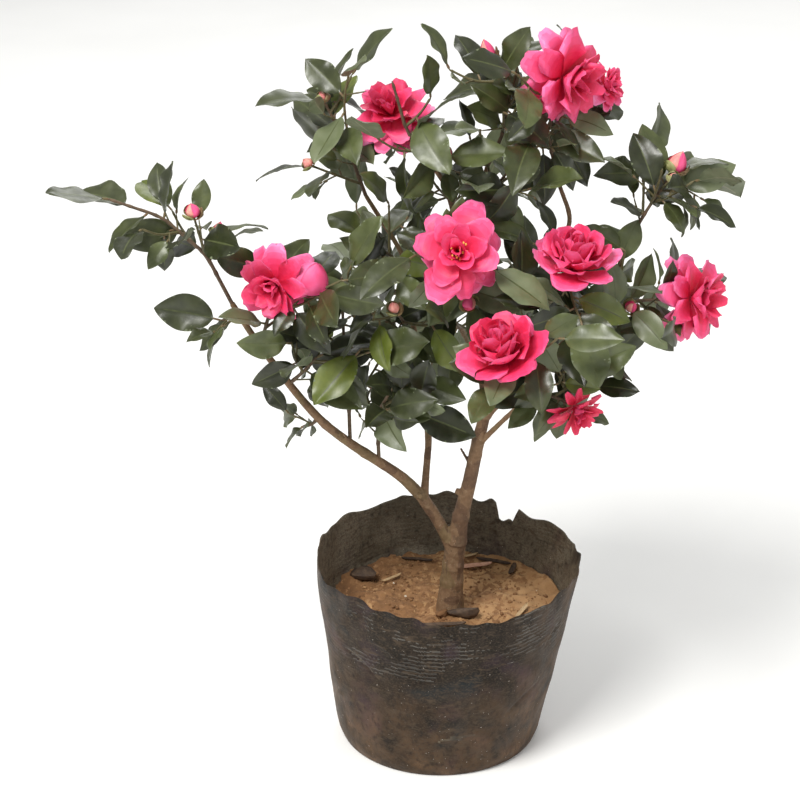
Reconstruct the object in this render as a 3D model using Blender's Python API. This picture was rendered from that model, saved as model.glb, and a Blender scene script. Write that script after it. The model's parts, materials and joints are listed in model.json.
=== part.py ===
"""A camellia shrub in flower, in a soft black grow bag filled with soil.

Metres, +Z up. The origin is on the ground under the middle of the bag. The trunk forks into
stems and boughs, and every mass of leaves and blooms grows from one of them by one seeded rule.
"""

import math
import random
from collections import namedtuple

import bmesh
import bpy
import numpy as np
from mathutils.bvhtree import BVHTree

# ---------------------------------------------------------------- sizes shared by all pieces
UP = np.array([0.0, 0.0, 1.0])
GAP = 0.0003  # between two pieces that touch
CLEARANCE = 0.0008  # least room round a leaf or twig as it grows
SOIL_LEVEL = 0.122  # the trunk's flat cut stands here

# ---------------------------------------------------------------- the grow bag
RIM_RADIUS = 0.1175
RIM_HEIGHT = 0.174
BASE_RADIUS = 0.0914  # where the slanting wall would meet the ground
UNDERSIDE_RADIUS = 0.0895
BULGE = 0.0017  # how far the side swells halfway up
RIM_SHIFT = 0.0112  # the soft bag stands this far towards +X at its rim
BASE_SHIFT = 0.0036  # and this far at its foot
WALL = 0.0015
FLOOR = 0.0020
BAG_SECTORS = 30
NOTCH_ANGLE = math.radians(60)  # a tear in the back of the rim
NOTCH_HALF_WIDTH = math.radians(6)
NOTCH_DEPTH = 0.016
# Heights up the bag's side, as shares of the rim's height, and how far each is drawn in.
OUTER_SIDE = ((0.020, 0.0014), (0.070, 0.0), (0.35, 0.0), (0.66, 0.0), (1.0, 0.0))
INNER_SIDE = ((1.0, WALL), (0.66, WALL), (0.35, WALL), (0.075, WALL + 0.0006))
FLOOR_SHRINK = 0.010
SOIL_RINGS = (0.86, 0.62, 0.38)  # shares of the way out from the trunk's pad
PAD_RADIUS = 0.020

# ---------------------------------------------------------------- limbs
LIMB_SIDES = 6
LIMB_SPACING = 0.018
ROOT_FLARE = 0.0030  # added to the trunk's radius at the soil
TRUNK_FOOT = (0.013, 0.0, SOIL_LEVEL)
# A limb leaves its parent at a share of the parent's length. It goes through its runs, each one an
# azimuth from +X and a rise above level in degrees, and a length, and tapers between its two radii.
Limb = namedtuple("Limb", "parent share runs root_radius tip_radius")
LIMBS = {
    "trunk": Limb(None, 0.00, [(0, 87, 0.038), (-18, 84, 0.030)], 0.0100, 0.0092),
    "right_stem": Limb("trunk", 1.00, [(-31, 80, 0.034), (-31, 76, 0.024), (-29, 79, 0.055),
                                       (1, 77, 0.026)], 0.0074, 0.0050),
    "left_stem": Limb("trunk", 0.83, [(-178, 65, 0.035), (-168, 56, 0.051), (-171, 39, 0.066),
                                      (-171, 45, 0.045), (-169, 56, 0.077), (-176, 60, 0.047)],
                      0.0056, 0.0024),
    "middle_stem": Limb("left_stem", 0.19, [(80, 63, 0.027), (77, 68, 0.024), (108, 70, 0.050),
                                            (128, 76, 0.074), (145, 83, 0.040), (-171, 61, 0.072)],
                        0.0032, 0.0018),
    "crown_stem": Limb("right_stem", 1.00, [(109, 67, 0.033), (132, 75, 0.106), (-177, 77, 0.059),
                                            (179, 58, 0.017)], 0.0044, 0.0021),
    "top_stem": Limb("crown_stem", 0.42, [(72, 62, 0.040), (102, 84, 0.048), (-31, 76, 0.038)],
                     0.0026, 0.0019),
    "right_bough": Limb("right_stem", 0.94, [(-22, 50, 0.025), (-8, 48, 0.031), (1, 45, 0.065),
                                             (37, 45, 0.048), (41, 63, 0.032)], 0.0034, 0.0019),
    "upper_right_bough": Limb("crown_stem", 0.18, [(57, 28, 0.046), (9, 60, 0.058), (-11, 59, 0.049),
                                                   (-125, 66, 0.045)], 0.0028, 0.0018),
    "low_right_bough": Limb("right_stem", 0.73, [(-48, 48, 0.038), (-57, 45, 0.051)], 0.0024, 0.0018),
    "back_bough": Limb("crown_stem", 0.10, [(98, 4, 0.074), (102, 4, 0.031)], 0.0032, 0.0024),
}

# ---------------------------------------------------------------- twigs, leaves, blooms and buds
GOLDEN_TURN = math.radians(137.5)
SPOKE_HINT = np.array([0.21, -0.13, 1.0])  # never quite in line with a twig
CROWN_AXIS = np.array([0.0, 0.02, 0.40])
LIGHT = np.array([0.0, -0.60, 0.80])  # leaves turn their upper faces this way
TWIG_SPACING = 0.040
STEM_RADII = (0.0018, 0.0011)
SIDE_TWIG_RADII = (0.0013, 0.0009)
BARE_ROOT = 0.012
TWIG_TRIES = 12
LEAF_TRIES = 9
LEAF_LENGTH = (0.046, 0.064)
LEAF_PITCH = 0.0215  # a side twig has one leaf for each such length
LEAFY_SHARE = 0.60  # of a twig's length
SPACE_OVERLAP = 0.020  # how far a twig or leaf may reach towards another mass's stem
LEAF_STATIONS = ((0.34, 1.0), (0.70, 0.86))  # shares of the length, shares of the full width
PETAL_STATIONS = ((0.44, 0.74), (0.86, 1.0))
# How many outer petals, how far they open in degrees, and their width as a share of their length.
BLOOM_FORMS = {
    "open": (8, 74, 0.66),
    "rose": (7, 62, 0.74),
    "ragged": (6, 72, 0.74),
    "strap": (9, 62, 0.32),
}
Blade = namedtuple("Blade", "root along face length width thickness fold arch stations")
Bloom = namedtuple("Bloom", "axis radius form")
Bud = namedtuple("Bud", "length radius")
# A mass's stem leaves its limb at a share of the limb's length, goes through its runs, has this many
# leaves and may end in a bloom or bud. Its side twigs, each about as long as the mass's reach, and all
# its leaves follow from its seed. Its shoots are set by hand, because they carry a bloom, a bud or a tip.
Mass = namedtuple("Mass", "limb share stem leaves twigs reach seed end shoots leaf_size",
                  defaults=(None, (), 1.0))
Shoot = namedtuple("Shoot", "share runs leaves end", defaults=(None,))
MASSES = {
    "left_tip": Mass("left_stem", 1.00, [(180, 65, 0.048), (-176, 44, 0.049), (-170, 23, 0.048)],
                     7, 2, 0.045, 1173, shoots=[
        Shoot(0.34, [(-108, 63, 0.046)], 2, Bud(0.014, 0.0075)),
        Shoot(0.28, [(99, 12, 0.010), (57, 51, 0.020)], 3, Bud(0.013, 0.0070)),
    ]),
    "left_side": Mass("left_stem", 0.95, [(-172, 8, 0.010), (178, -20, 0.008)], 2, 0, 0.0, 928),
    "left_bloom": Mass("left_stem", 0.86, [(-58, 61, 0.024), (-36, 73, 0.046)], 2, 3, 0.060, 490,
                       Bloom((-0.30, -0.92, -0.10), 0.036, "ragged"), [
        Shoot(0.45, [(4, 26, 0.025), (-39, 54, 0.027)], 2, Bud(0.030, 0.0155)),
    ]),
    "left_middle": Mass("left_stem", 0.72, [(-28, 43, 0.012), (-16, 50, 0.027)], 4, 3, 0.045, 116),
    "left_low": Mass("left_stem", 0.59, [(-174, -48, 0.009), (-178, -6, 0.007)],
                     3, 0, 0.0, 604, leaf_size=0.55),
    "left_upright": Mass("left_stem", 0.47, [(101, 82, 0.051), (117, 80, 0.051), (-170, 89, 0.049)],
                         6, 3, 0.055, 312),
    "low_centre": Mass("left_stem", 0.37, [(125, 86, 0.045), (-60, 52, 0.044)], 3, 4, 0.058, 99),
    "centre_left": Mass("middle_stem", 0.46, [(-107, 48, 0.059), (-102, 34, 0.049)],
                        3, 4, 0.068, 325, Bud(0.014, 0.0060)),
    "inner_left": Mass("middle_stem", 0.70, [(-114, 42, 0.044), (-112, 31, 0.025)], 3, 3, 0.046, 396),
    "upper_left": Mass("middle_stem", 1.00, [(-154, 70, 0.049), (-159, 64, 0.048)],
                       5, 3, 0.046, 937, Bud(0.010, 0.0050), [
        Shoot(0.45, [(-103, 70, 0.054), (-53, 73, 0.022)], 4),
        Shoot(0.12, [(-155, 26, 0.034), (-162, 26, 0.018)], 3, Bud(0.010, 0.0060)),
    ]),
    "upper_left_bloom": Mass("crown_stem", 1.00, [(-146, 53, 0.050), (-132, 69, 0.050)],
                             4, 2, 0.042, 625, shoots=[
        Shoot(0.35, [(131, 28, 0.033)], 1, Bloom((-0.20, -0.50, 0.84), 0.037, "ragged")),
        Shoot(0.12, [(-52, 28, 0.023)], 2, Bud(0.012, 0.0065)),
    ]),
    "top": Mass("top_stem", 1.00, [(-27, 66, 0.036), (-69, 78, 0.036), (-158, 61, 0.035)],
                6, 4, 0.045, 975, Bud(0.022, 0.0075), [
        Shoot(0.55, [(3, 47, 0.024)], 3, Bud(0.012, 0.0055)),
    ]),
    "top_right": Mass("upper_right_bough", 1.00, [(-134, 70, 0.053), (-59, 73, 0.056)], 5, 3, 0.055, 487,
                      Bloom((0.72, -0.62, -0.05), 0.043, "ragged"), [
        Shoot(0.55, [(29, -14, 0.032), (23, 61, 0.040)], 3, Bloom((0.75, -0.35, 0.45), 0.022, "ragged")),
    ]),
    "upper_middle": Mass("top_stem", 0.75, [(-58, 35, 0.020), (-52, 44, 0.027)], 3, 4, 0.052, 114),
    "right_top": Mass("right_bough", 1.00, [(0, 63, 0.038), (0, 58, 0.038)],
                      5, 3, 0.055, 1309, Bud(0.021, 0.0095), [
        Shoot(0.55, [(-16, 28, 0.028), (0, 40, 0.014)], 5),
        Shoot(0.75, [(-66, 38, 0.021)], 0, Bud(0.010, 0.0050)),
    ]),
    "right": Mass("right_bough", 0.66, [(5, 16, 0.041), (-2, 5, 0.043)], 5, 3, 0.060, 2246,
                  Bloom((0.78, -0.60, 0.10), 0.040, "ragged"), [
        Shoot(0.25, [(-73, 20, 0.034)], 1, Bud(0.014, 0.0065)),
    ]),
    "centre": Mass("crown_stem", 0.62, [(-96, 15, 0.052), (-91, 28, 0.063)], 3, 3, 0.045, 386,
                   Bloom((-0.12, -0.88, 0.42), 0.046, "open"), [
        Shoot(0.50, [(-73, -44, 0.036)], 3, Bud(0.013, 0.0075)),
    ]),
    "centre_right": Mass("upper_right_bough", 0.45, [(-75, 19, 0.055), (-77, 30, 0.075)], 4, 4, 0.055, 353,
                         Bloom((0.05, -0.25, 0.96), 0.040, "rose")),
    "low_right": Mass("right_bough", 0.30, [(-89, 33, 0.058), (-113, 22, 0.073)], 3, 4, 0.052, 71,
                      Bloom((-0.35, -0.30, 0.88), 0.041, "rose")),
    "right_low": Mass("right_bough", 0.45, [(-75, 21, 0.043), (-55, 43, 0.033)], 3, 4, 0.055, 4),
    "hanging_right": Mass("low_right_bough", 1.00, [(-42, 33, 0.027), (-37, -9, 0.029)], 4, 2, 0.040, 575,
                          Bloom((0.45, -0.78, -0.42), 0.028, "strap")),
    "back_left": Mass("middle_stem", 0.58, [(98, 14, 0.047), (100, 0, 0.051)], 3, 4, 0.062, 311),
    "back_low": Mass("back_bough", 1.00, [(96, -15, 0.031), (93, -16, 0.042)], 3, 4, 0.046, 382),
    "back_right": Mass("upper_right_bough", 0.30, [(67, 1, 0.056), (72, -5, 0.053)], 3, 4, 0.060, 275),
    "back_top": Mass("crown_stem", 0.78, [(89, -3, 0.059), (82, 7, 0.040)], 3, 4, 0.065, 215),
}


# ---------------------------------------------------------------- curves and directions
def unit(vector):
    return np.asarray(vector, float) / np.linalg.norm(vector)


def across(direction, hint):
    """The unit vector nearest to hint that is square to direction."""
    return unit(hint - direction * np.dot(hint, direction))


def turned(vector, axis, angle):
    """The vector turned about an axis."""
    return (vector * math.cos(angle) + np.cross(axis, vector) * math.sin(angle)
            + axis * np.dot(axis, vector) * (1 - math.cos(angle)))


def heading(azimuth, rise):
    """The unit vector at an azimuth from +X and a rise above level, both in degrees."""
    azimuth, rise = math.radians(azimuth), math.radians(rise)
    return np.array([math.cos(rise) * math.cos(azimuth), math.cos(rise) * math.sin(azimuth), math.sin(rise)])


def follow(start, runs):
    """The corners of a way that goes through runs of (azimuth, rise, length) from a start."""
    corners = [np.array(start, float)]
    for azimuth, rise, length in runs:
        corners.append(corners[-1] + heading(azimuth, rise) * length)
    return corners


def smooth_path(points, spacing):
    """Points about spacing apart on one smooth curve through the given points."""
    knots = [np.array(point, float) for point in points]
    knots = [2 * knots[0] - knots[1]] + knots + [2 * knots[-1] - knots[-2]]
    path = []
    for before, start, end, after in zip(knots, knots[1:], knots[2:], knots[3:]):
        steps = max(1, round(np.linalg.norm(end - start) / spacing))
        for t in np.arange(steps) / steps:
            path.append(start + 0.5 * t * (end - before)
                        + t ** 2 * (before - 2.5 * start + 2 * end - 0.5 * after)
                        + t ** 3 * (1.5 * start - 0.5 * before - 1.5 * end + 0.5 * after))
    return np.array(path + [knots[-2]])


class Tube:
    """A limb or twig: a path whose radius tapers from root to tip."""

    def __init__(self, points, radii, spacing):
        self.path = smooth_path(points, spacing)
        steps = np.linalg.norm(np.diff(self.path, axis=0), axis=1)
        self.length = steps.sum()
        self.shares = np.concatenate([[0.0], np.cumsum(steps)]) / self.length
        self.radii = radii[0] + (radii[1] - radii[0]) * self.shares

    def at(self, share):
        return np.array([np.interp(share, self.shares, self.path[:, axis]) for axis in range(3)])

    def along(self, share):
        return unit(self.at(min(1.0, share + 0.04)) - self.at(max(0.0, share - 0.04)))

    def radius(self, share):
        return np.interp(share, self.shares, self.radii)


# ---------------------------------------------------------------- closed shells: corners and faces
def tube_shell(path, radii, sides):
    corners = []
    spoke = across(unit(path[1] - path[0]), np.array([0.31, -0.87, 0.38]))
    for index, centre in enumerate(path):
        ahead = unit(path[min(index + 1, len(path) - 1)] - path[max(index - 1, 0)])
        spoke = across(ahead, spoke)
        for step in range(sides):
            corners.append(centre + radii[index] * turned(spoke, ahead, 2 * math.pi * step / sides))
    faces = [tuple(reversed(range(sides))), tuple(range(len(corners) - sides, len(corners)))]
    for first in range(0, len(corners) - sides, sides):
        for step in range(sides):
            ahead = (step + 1) % sides
            faces.append((first + step, first + ahead, first + sides + ahead, first + sides + step))
    return corners, faces


def twig_shell(tube, grow=0.0, bare_root=0.0):
    """A three-sided twig, or its part beyond a length at its root."""
    start = min(0.6, bare_root / tube.length)
    kept = tube.shares > start + 0.05
    path = np.concatenate([[tube.at(start)], tube.path[kept]])
    radii = np.concatenate([[tube.radius(start)], tube.radii[kept]])
    return tube_shell(path, radii + grow, 3)


def blade_shell(blade, grow=0.0, start=0.0):
    """A leaf or petal: a folded blade of twelve faces with sharp edges, from its root to its tip."""
    side = np.cross(blade.along, blade.face)

    def place(share, offset, height):
        lift = height - blade.arch * blade.length * share ** 2
        return blade.root + blade.along * blade.length * share + side * offset + blade.face * lift

    half = blade.thickness / 2 + grow
    corners = [place(start, 0.0, 0.0)]
    for share, width_share in blade.stations:
        reach = blade.width / 2 * width_share + grow
        corners += [place(share, -reach, reach * blade.fold), place(share, reach, reach * blade.fold)]
    corners.append(place(1.0 + grow / blade.length, 0.0, 0.0))
    middle = (blade.stations[0][0] + blade.stations[1][0]) / 2
    corners += [place(middle, 0.0, half), place(middle, 0.0, -half)]
    outline = (0, 1, 3, 5, 4, 2)
    faces = []
    for here, ahead in zip(outline, outline[1:] + outline[:1]):
        faces += [(here, 6, ahead), (here, ahead, 7)]
    return corners, faces


def spindle_shell(root, axis, length, radius, sides):
    """Two rings between two ends."""
    spoke = across(axis, np.array([0.31, -0.87, 0.38]))
    corners = [root]
    for share, width_share in ((0.30, 0.94), (0.72, 0.78)):
        for step in range(sides):
            corners.append(root + axis * length * share
                           + turned(spoke, axis, 2 * math.pi * step / sides) * radius * width_share)
    corners.append(root + axis * length)
    faces = []
    for step in range(sides):
        here = 1 + step
        ahead = 1 + (step + 1) % sides
        faces += [(0, ahead, here), (here, ahead, sides + ahead, sides + here),
                  (sides + here, sides + ahead, 1 + 2 * sides)]
    return corners, faces


def bud_shell(root, axis, bud):
    return spindle_shell(root, axis, bud.length, bud.radius, 5)


def heart_shell(root, bloom):
    """The closed heart of a bloom: its inner petals, which hold the outer ones' roots."""
    axis = unit(bloom.axis)
    length = bloom.radius * 0.80
    return spindle_shell(root - axis * length * 0.16, axis, length, bloom.radius * 0.48, 7)


class Obstacle:
    """A closed shell that other pieces keep clear of."""

    def __init__(self, owner, shell):
        corners, faces = shell
        corners = np.array(corners)
        self.owner = owner
        self.low = corners.min(axis=0)
        self.high = corners.max(axis=0)
        self.tree = BVHTree.FromPolygons(corners.tolist(), faces)

    def meets(self, other):
        apart = (self.low > other.high).any() or (other.low > self.high).any()
        return not apart and bool(self.tree.overlap(other.tree))


# ---------------------------------------------------------------- the rule of growth
def bloom_petals(root, bloom):
    """The outer petals of one bloom, in an uneven ring round its axis."""
    axis = unit(bloom.axis)
    first = across(axis, np.array([0.22, 0.41, 0.88]))
    count, opening, width_share = BLOOM_FORMS[bloom.form]
    petals = []
    for step in range(count):
        wobble = math.sin(2.4 * step + 0.4)
        spoke = turned(first, axis, 2 * math.pi * (step + 0.12 * wobble) / count)
        tilt = math.radians(opening + 8 * wobble * (-1) ** step)
        along = axis * math.cos(tilt) + spoke * math.sin(tilt)
        face = axis * math.sin(tilt) - spoke * math.cos(tilt)
        length = bloom.radius * (0.96 + 0.04 * wobble)
        petals.append(Blade(root, along, face, length, length * width_share, 0.0016, 0.20, 0.05,
                            PETAL_STATIONS))
    return petals


def leaf_try(tube, share, turn, chance, attempt, size=1.0):
    """One way that a leaf can stand at a share of its twig."""
    root = tube.at(share)
    ahead = tube.along(share)
    near_tip = max(0.0, (share - 0.80) / 0.20)
    spread = math.radians(chance.uniform(46, 72) - 36 * near_tip + 6 * attempt)
    spoke = turned(across(ahead, SPOKE_HINT), ahead, turn + 0.9 * attempt)
    outward = unit((root - CROWN_AXIS) * np.array([1.0, 1.0, 0.25]))
    along = unit(ahead * math.cos(spread) + spoke * math.sin(spread) - UP * chance.uniform(0.0, 0.5))
    face = across(along, LIGHT * 0.75 + outward * 0.50 + ahead * 0.20)
    face = turned(face, along, math.radians(chance.gauss(0, 22)))
    length = chance.uniform(*LEAF_LENGTH) * (1.0 - 0.05 * attempt) * size
    width = length * chance.uniform(0.46, 0.55)
    return Blade(root, along, face, length, width, 0.0009, 0.16, chance.uniform(0.02, 0.12), LEAF_STATIONS)


class Growth:
    """What grows in one mass: its stem and twigs, leaves, blooms and buds."""

    def __init__(self, name, limbs):
        self.name = name
        self.mass = MASSES[name]
        self.root = limbs[self.mass.limb].at(self.mass.share)
        self.twigs = []
        self.leaves = []
        self.blooms = []
        self.buds = []

    def chance(self, *what):
        """The seeded chances of one twig or leaf of this mass."""
        return random.Random(f"{self.mass.seed} {what}")

    def grow_shoots(self, obstacles):
        """The stem, then the shoots that are set by hand, each with its bloom or bud."""
        stem = Shoot(0.0, self.mass.stem, self.mass.leaves, self.mass.end)
        for shoot in (stem, *self.mass.shoots):
            root = self.twigs[0][0].at(shoot.share) if self.twigs else self.root
            radii = SIDE_TWIG_RADII if self.twigs else STEM_RADII
            tube = Tube(follow(root, shoot.runs), radii, TWIG_SPACING)
            self.keep_twig(tube, shoot.leaves, obstacles)
            self.grow_end(tube, shoot.end, obstacles)

    def keep_twig(self, tube, leaves, obstacles):
        self.twigs.append((tube, leaves))
        obstacles.append(Obstacle(self.name, twig_shell(tube)))

    def grow_end(self, tube, end, obstacles):
        """The bloom or bud at a twig's tip."""
        root = tube.path[-1]
        if isinstance(end, Bloom):
            petals = bloom_petals(root, end)
            self.blooms.append((root, end, petals))
            obstacles += [Obstacle(self.name, blade_shell(petal)) for petal in petals]
            obstacles.append(Obstacle(self.name, heart_shell(root, end)))
        if isinstance(end, Bud):
            axis = unit(tube.along(1.0) + UP * 0.5)
            self.buds.append((root - axis * end.length * 0.15, axis, end))
            obstacles.append(Obstacle(self.name, bud_shell(*self.buds[-1])))

    def side_twig(self, number, attempt):
        """One way that the stem's next side twig can go: round the stem by the golden turn."""
        chance = self.chance("twig", number)
        share = 0.18 + 0.70 * (number + chance.random()) / self.mass.twigs
        stem = self.twigs[0][0]
        turn = self.chance("turn").uniform(0, 2 * math.pi) + GOLDEN_TURN * number + 0.8 * attempt
        spoke = turned(across(stem.along(share), SPOKE_HINT), stem.along(share), turn)
        spread = math.radians(chance.uniform(38, 68))
        ahead = unit(stem.along(share) * math.cos(spread) + spoke * math.sin(spread))
        length = self.mass.reach * chance.uniform(0.8, 1.15) * (1 - 0.04 * attempt)
        middle = stem.at(share) + ahead * length * 0.5
        tip = middle + unit(ahead + UP * 0.4) * length * 0.5
        return Tube([stem.at(share), middle, tip], SIDE_TWIG_RADII, TWIG_SPACING)

    def grow_side_twigs(self, obstacles, in_own_space):
        """Side twigs on the stem; a twig that finds no room is left out."""
        petals = [Obstacle(None, blade_shell(petal)) for _, _, petals in self.blooms for petal in petals]
        others = [other for other in obstacles if other.owner != self.name] + petals
        for number in range(self.mass.twigs):
            for attempt in range(TWIG_TRIES):
                tube = self.side_twig(number, attempt)
                outer = Obstacle(self.name, twig_shell(tube, CLEARANCE, BARE_ROOT))
                if in_own_space(self, tube.path[-1]) and not any(outer.meets(other) for other in others):
                    self.keep_twig(tube, round(tube.length / LEAF_PITCH), obstacles)
                    break

    def grow_leaves(self, obstacles, in_own_space):
        """Leaves in a spiral back from each twig's tip; a leaf that finds no room is left out."""
        others = [other for other in obstacles if other.owner != self.name]
        own = [other for other in obstacles if other.owner == self.name]
        for number, (tube, leaves) in enumerate(self.twigs):
            first_turn = self.chance("leaves", number).uniform(0, 2 * math.pi)
            for index in range(leaves):
                chance = self.chance("leaf", number, index)
                share = 0.985 - LEAFY_SHARE * (index / max(1, leaves - 1)) ** 0.85
                for attempt in range(LEAF_TRIES):
                    leaf = leaf_try(tube, share, first_turn + GOLDEN_TURN * index, chance, attempt,
                                    self.mass.leaf_size)
                    if in_own_space(self, leaf.root + leaf.along * leaf.length) \
                            and self.has_room(leaf, own, others):
                        self.leaves.append(leaf)
                        own.append(Obstacle(self.name, blade_shell(leaf, 0.0, 0.22)))
                        obstacles.append(Obstacle(self.name, blade_shell(leaf)))
                        break

    def has_room(self, leaf, own, others):
        """Clear of other masses and limbs, and beyond its root clear of its own mass."""
        whole = Obstacle(self.name, blade_shell(leaf, CLEARANCE))
        outer = Obstacle(self.name, blade_shell(leaf, CLEARANCE / 2, 0.22))
        return not (any(whole.meets(other) for other in others) or any(outer.meets(other) for other in own))


def grow_limbs():
    limbs = {}
    for name, limb in LIMBS.items():
        start = limbs[limb.parent].at(limb.share) if limb.parent else TRUNK_FOOT
        limbs[name] = Tube(follow(start, limb.runs), (limb.root_radius, limb.tip_radius), LIMB_SPACING)
    limbs["trunk"].radii += ROOT_FLARE * (1 - limbs["trunk"].shares) ** 3
    return limbs


def grow_plant():
    """The limbs, then every mass's stem with its blooms, then side twigs and leaves, mass by mass."""
    limbs = grow_limbs()
    obstacles = [Obstacle(None, tube_shell(tube.path, tube.radii, LIMB_SIDES)) for tube in limbs.values()]
    growths = [Growth(name, limbs) for name in MASSES]
    for growth in growths:
        growth.grow_shoots(obstacles)
    spaces = {growth.name: np.concatenate([tube.path for tube, _ in growth.twigs]) for growth in growths}

    def in_own_space(growth, point):
        """Whether a point is nearer to its mass's twigs than to another's stem, within the overlap."""
        own = min(np.linalg.norm(tube.path - point, axis=1).min() for tube, _ in growth.twigs)
        return all(own < np.linalg.norm(path - point, axis=1).min() + SPACE_OVERLAP
                   for name, path in spaces.items() if name != growth.name)

    for growth in growths:
        growth.grow_side_twigs(obstacles, in_own_space)
        growth.grow_leaves(obstacles, in_own_space)
    return limbs, growths


# ---------------------------------------------------------------- Blender objects
def plain_material(name, colour, roughness):
    material = bpy.data.materials.new(name)
    material.use_nodes = True
    shader = material.node_tree.nodes["Principled BSDF"]
    shader.inputs["Base Color"].default_value = (*colour, 1.0)
    shader.inputs["Roughness"].default_value = roughness
    material.diffuse_color = (*colour, 1.0)
    return material


def shell_object(name, shell, material, collection=None):
    corners, faces = shell
    mesh = bpy.data.meshes.new(name)
    mesh.from_pydata([tuple(map(float, corner)) for corner in corners], [], faces)
    mesh.materials.append(material)
    piece = bpy.data.objects.new(name, mesh)
    (collection or bpy.context.scene.collection).objects.link(piece)
    return piece


def apply_boolean(piece, operation, others, solver="EXACT"):
    """Join or cut a piece with other objects, which are then removed."""
    tools = bpy.data.collections.new(piece.name + "_tools")
    bpy.context.scene.collection.children.link(tools)
    for other in others:
        for home in list(other.users_collection):
            home.objects.unlink(other)
        tools.objects.link(other)
    modifier = piece.modifiers.new("boolean", "BOOLEAN")
    modifier.operation = operation
    modifier.solver = solver
    modifier.operand_type = "COLLECTION"
    modifier.collection = tools
    if solver == "EXACT":
        modifier.material_mode = "TRANSFER"
    evaluated = piece.evaluated_get(bpy.context.evaluated_depsgraph_get())
    result = bpy.data.meshes.new_from_object(evaluated)
    piece.modifiers.clear()
    piece.data = result
    for other in others:
        bpy.data.objects.remove(other)
    bpy.data.collections.remove(tools)


def keep_largest_shell(piece):
    """Fill sealed hollows and drop loose scraps: only the outermost closed shell stays."""
    body = bmesh.new()
    body.from_mesh(piece.data)
    bmesh.ops.dissolve_degenerate(body, dist=1e-6, edges=body.edges)
    spare = [vertex for vertex in body.verts if len(vertex.link_edges) == 2]
    bmesh.ops.dissolve_verts(body, verts=spare)
    bmesh.ops.triangulate(body, faces=body.faces)
    unseen = set(body.faces)
    shells = []
    while unseen:
        front = [unseen.pop()]
        shell = list(front)
        while front:
            face = front.pop()
            for edge in face.edges:
                for neighbour in edge.link_faces:
                    if neighbour in unseen:
                        unseen.remove(neighbour)
                        front.append(neighbour)
                        shell.append(neighbour)
        shells.append(shell)
    shells.sort(key=len)
    scraps = [face for shell in shells[:-1] for face in shell]
    bmesh.ops.delete(body, geom=scraps, context="FACES")
    body.to_mesh(piece.data)
    body.free()


def smooth_where_round(piece, degrees):
    piece.data.shade_smooth()
    piece.data.set_sharp_from_angle(angle=math.radians(degrees))


# ---------------------------------------------------------------- the pot and its soil
def bag_angles():
    """Directions round the bag, with a few more at the torn notch."""
    even = [2 * math.pi * step / BAG_SECTORS for step in range(BAG_SECTORS)]
    notch = [NOTCH_ANGLE + NOTCH_HALF_WIDTH * side for side in (-1.0, -0.4, 0.4, 1.0)]
    clear = [angle for angle in even if abs(angle - NOTCH_ANGLE) > NOTCH_HALF_WIDTH * 1.3]
    return sorted(clear + notch)


def rim_height(angle):
    """The rim's uneven height: higher at the back left, lower at the right, torn at the notch."""
    height = RIM_HEIGHT + 0.005 * math.cos(angle - math.radians(140)) + 0.0015 * math.sin(5 * angle)
    inside_notch = abs(angle - NOTCH_ANGLE) < NOTCH_HALF_WIDTH * 0.7
    return height - (NOTCH_DEPTH if inside_notch else 0.0)


def bag_point(angle, height, inset):
    """A point on the slanting, slightly buckled side of the bag."""
    share = height / RIM_HEIGHT
    buckle = share * (0.0016 * math.sin(4 * angle + 0.5) + 0.0010 * math.sin(7 * angle + 2.0))
    swell = BULGE * math.sin(math.pi * min(1.0, share))
    radius = BASE_RADIUS + (RIM_RADIUS - BASE_RADIUS) * share + buckle + swell - inset
    middle = BASE_SHIFT + (RIM_SHIFT - BASE_SHIFT) * share
    return (middle + radius * math.cos(angle), radius * math.sin(angle), height)


def ring_shell(rings):
    """A closed shell from rings of equal count, the first and last closed with flat caps."""
    count = len(rings[0])
    corners = [corner for ring in rings for corner in ring]
    faces = [tuple(reversed(range(count))), tuple(range(len(corners) - count, len(corners)))]
    for first in range(0, len(corners) - count, count):
        for step in range(count):
            ahead = (step + 1) % count
            faces.append((first + step, first + ahead, first + count + ahead, first + count + step))
    return corners, faces


def flat_ring(radius, height):
    return [(BASE_SHIFT + radius * math.cos(angle), radius * math.sin(angle), height)
            for angle in bag_angles()]


def bag_shell():
    """Up the outside, over the rim and down the inside to the floor."""
    rings = [flat_ring(UNDERSIDE_RADIUS, 0.0)]
    for share, inset in OUTER_SIDE + INNER_SIDE:
        rings.append([bag_point(angle, rim_height(angle) * share, inset) for angle in bag_angles()])
    rings.append(flat_ring(BASE_RADIUS - FLOOR_SHRINK, FLOOR))
    return ring_shell(rings)


def soil_shell():
    """The filled inside of the bag, with an uneven top and a level pad under the trunk."""
    rings = [flat_ring(BASE_RADIUS - FLOOR_SHRINK - GAP, FLOOR + GAP)]
    for share, inset in reversed(INNER_SIDE[2:]):
        rings.append([bag_point(angle, rim_height(angle) * share + GAP, inset + 2 * GAP)
                      for angle in bag_angles()])
    edge = [bag_point(angle, SOIL_LEVEL - 0.004 + 0.003 * math.sin(2 * angle + 1.0), WALL + 2 * GAP)
            for angle in bag_angles()]
    rings.append(edge)
    trunk_x = TRUNK_FOOT[0]
    pad = [(trunk_x + PAD_RADIUS * math.cos(angle), PAD_RADIUS * math.sin(angle), SOIL_LEVEL - GAP)
           for angle in bag_angles()]
    for share in SOIL_RINGS:
        ring = []
        for angle, inner, outer in zip(bag_angles(), pad, edge):
            lump = 0.0022 * math.sin(3 * angle + 9 * share) * math.sin(math.pi * share)
            ring.append(tuple(np.array(inner) + (np.array(outer) - inner) * share + UP * lump))
        rings.append(ring)
    rings.append(pad)
    return ring_shell(rings)


def make_pot(materials):
    bag = shell_object("grow_bag", bag_shell(), materials["black_film"])
    smooth_where_round(bag, 40)
    soil = shell_object("soil", soil_shell(), materials["soil"])
    smooth_where_round(soil, 40)


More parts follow.
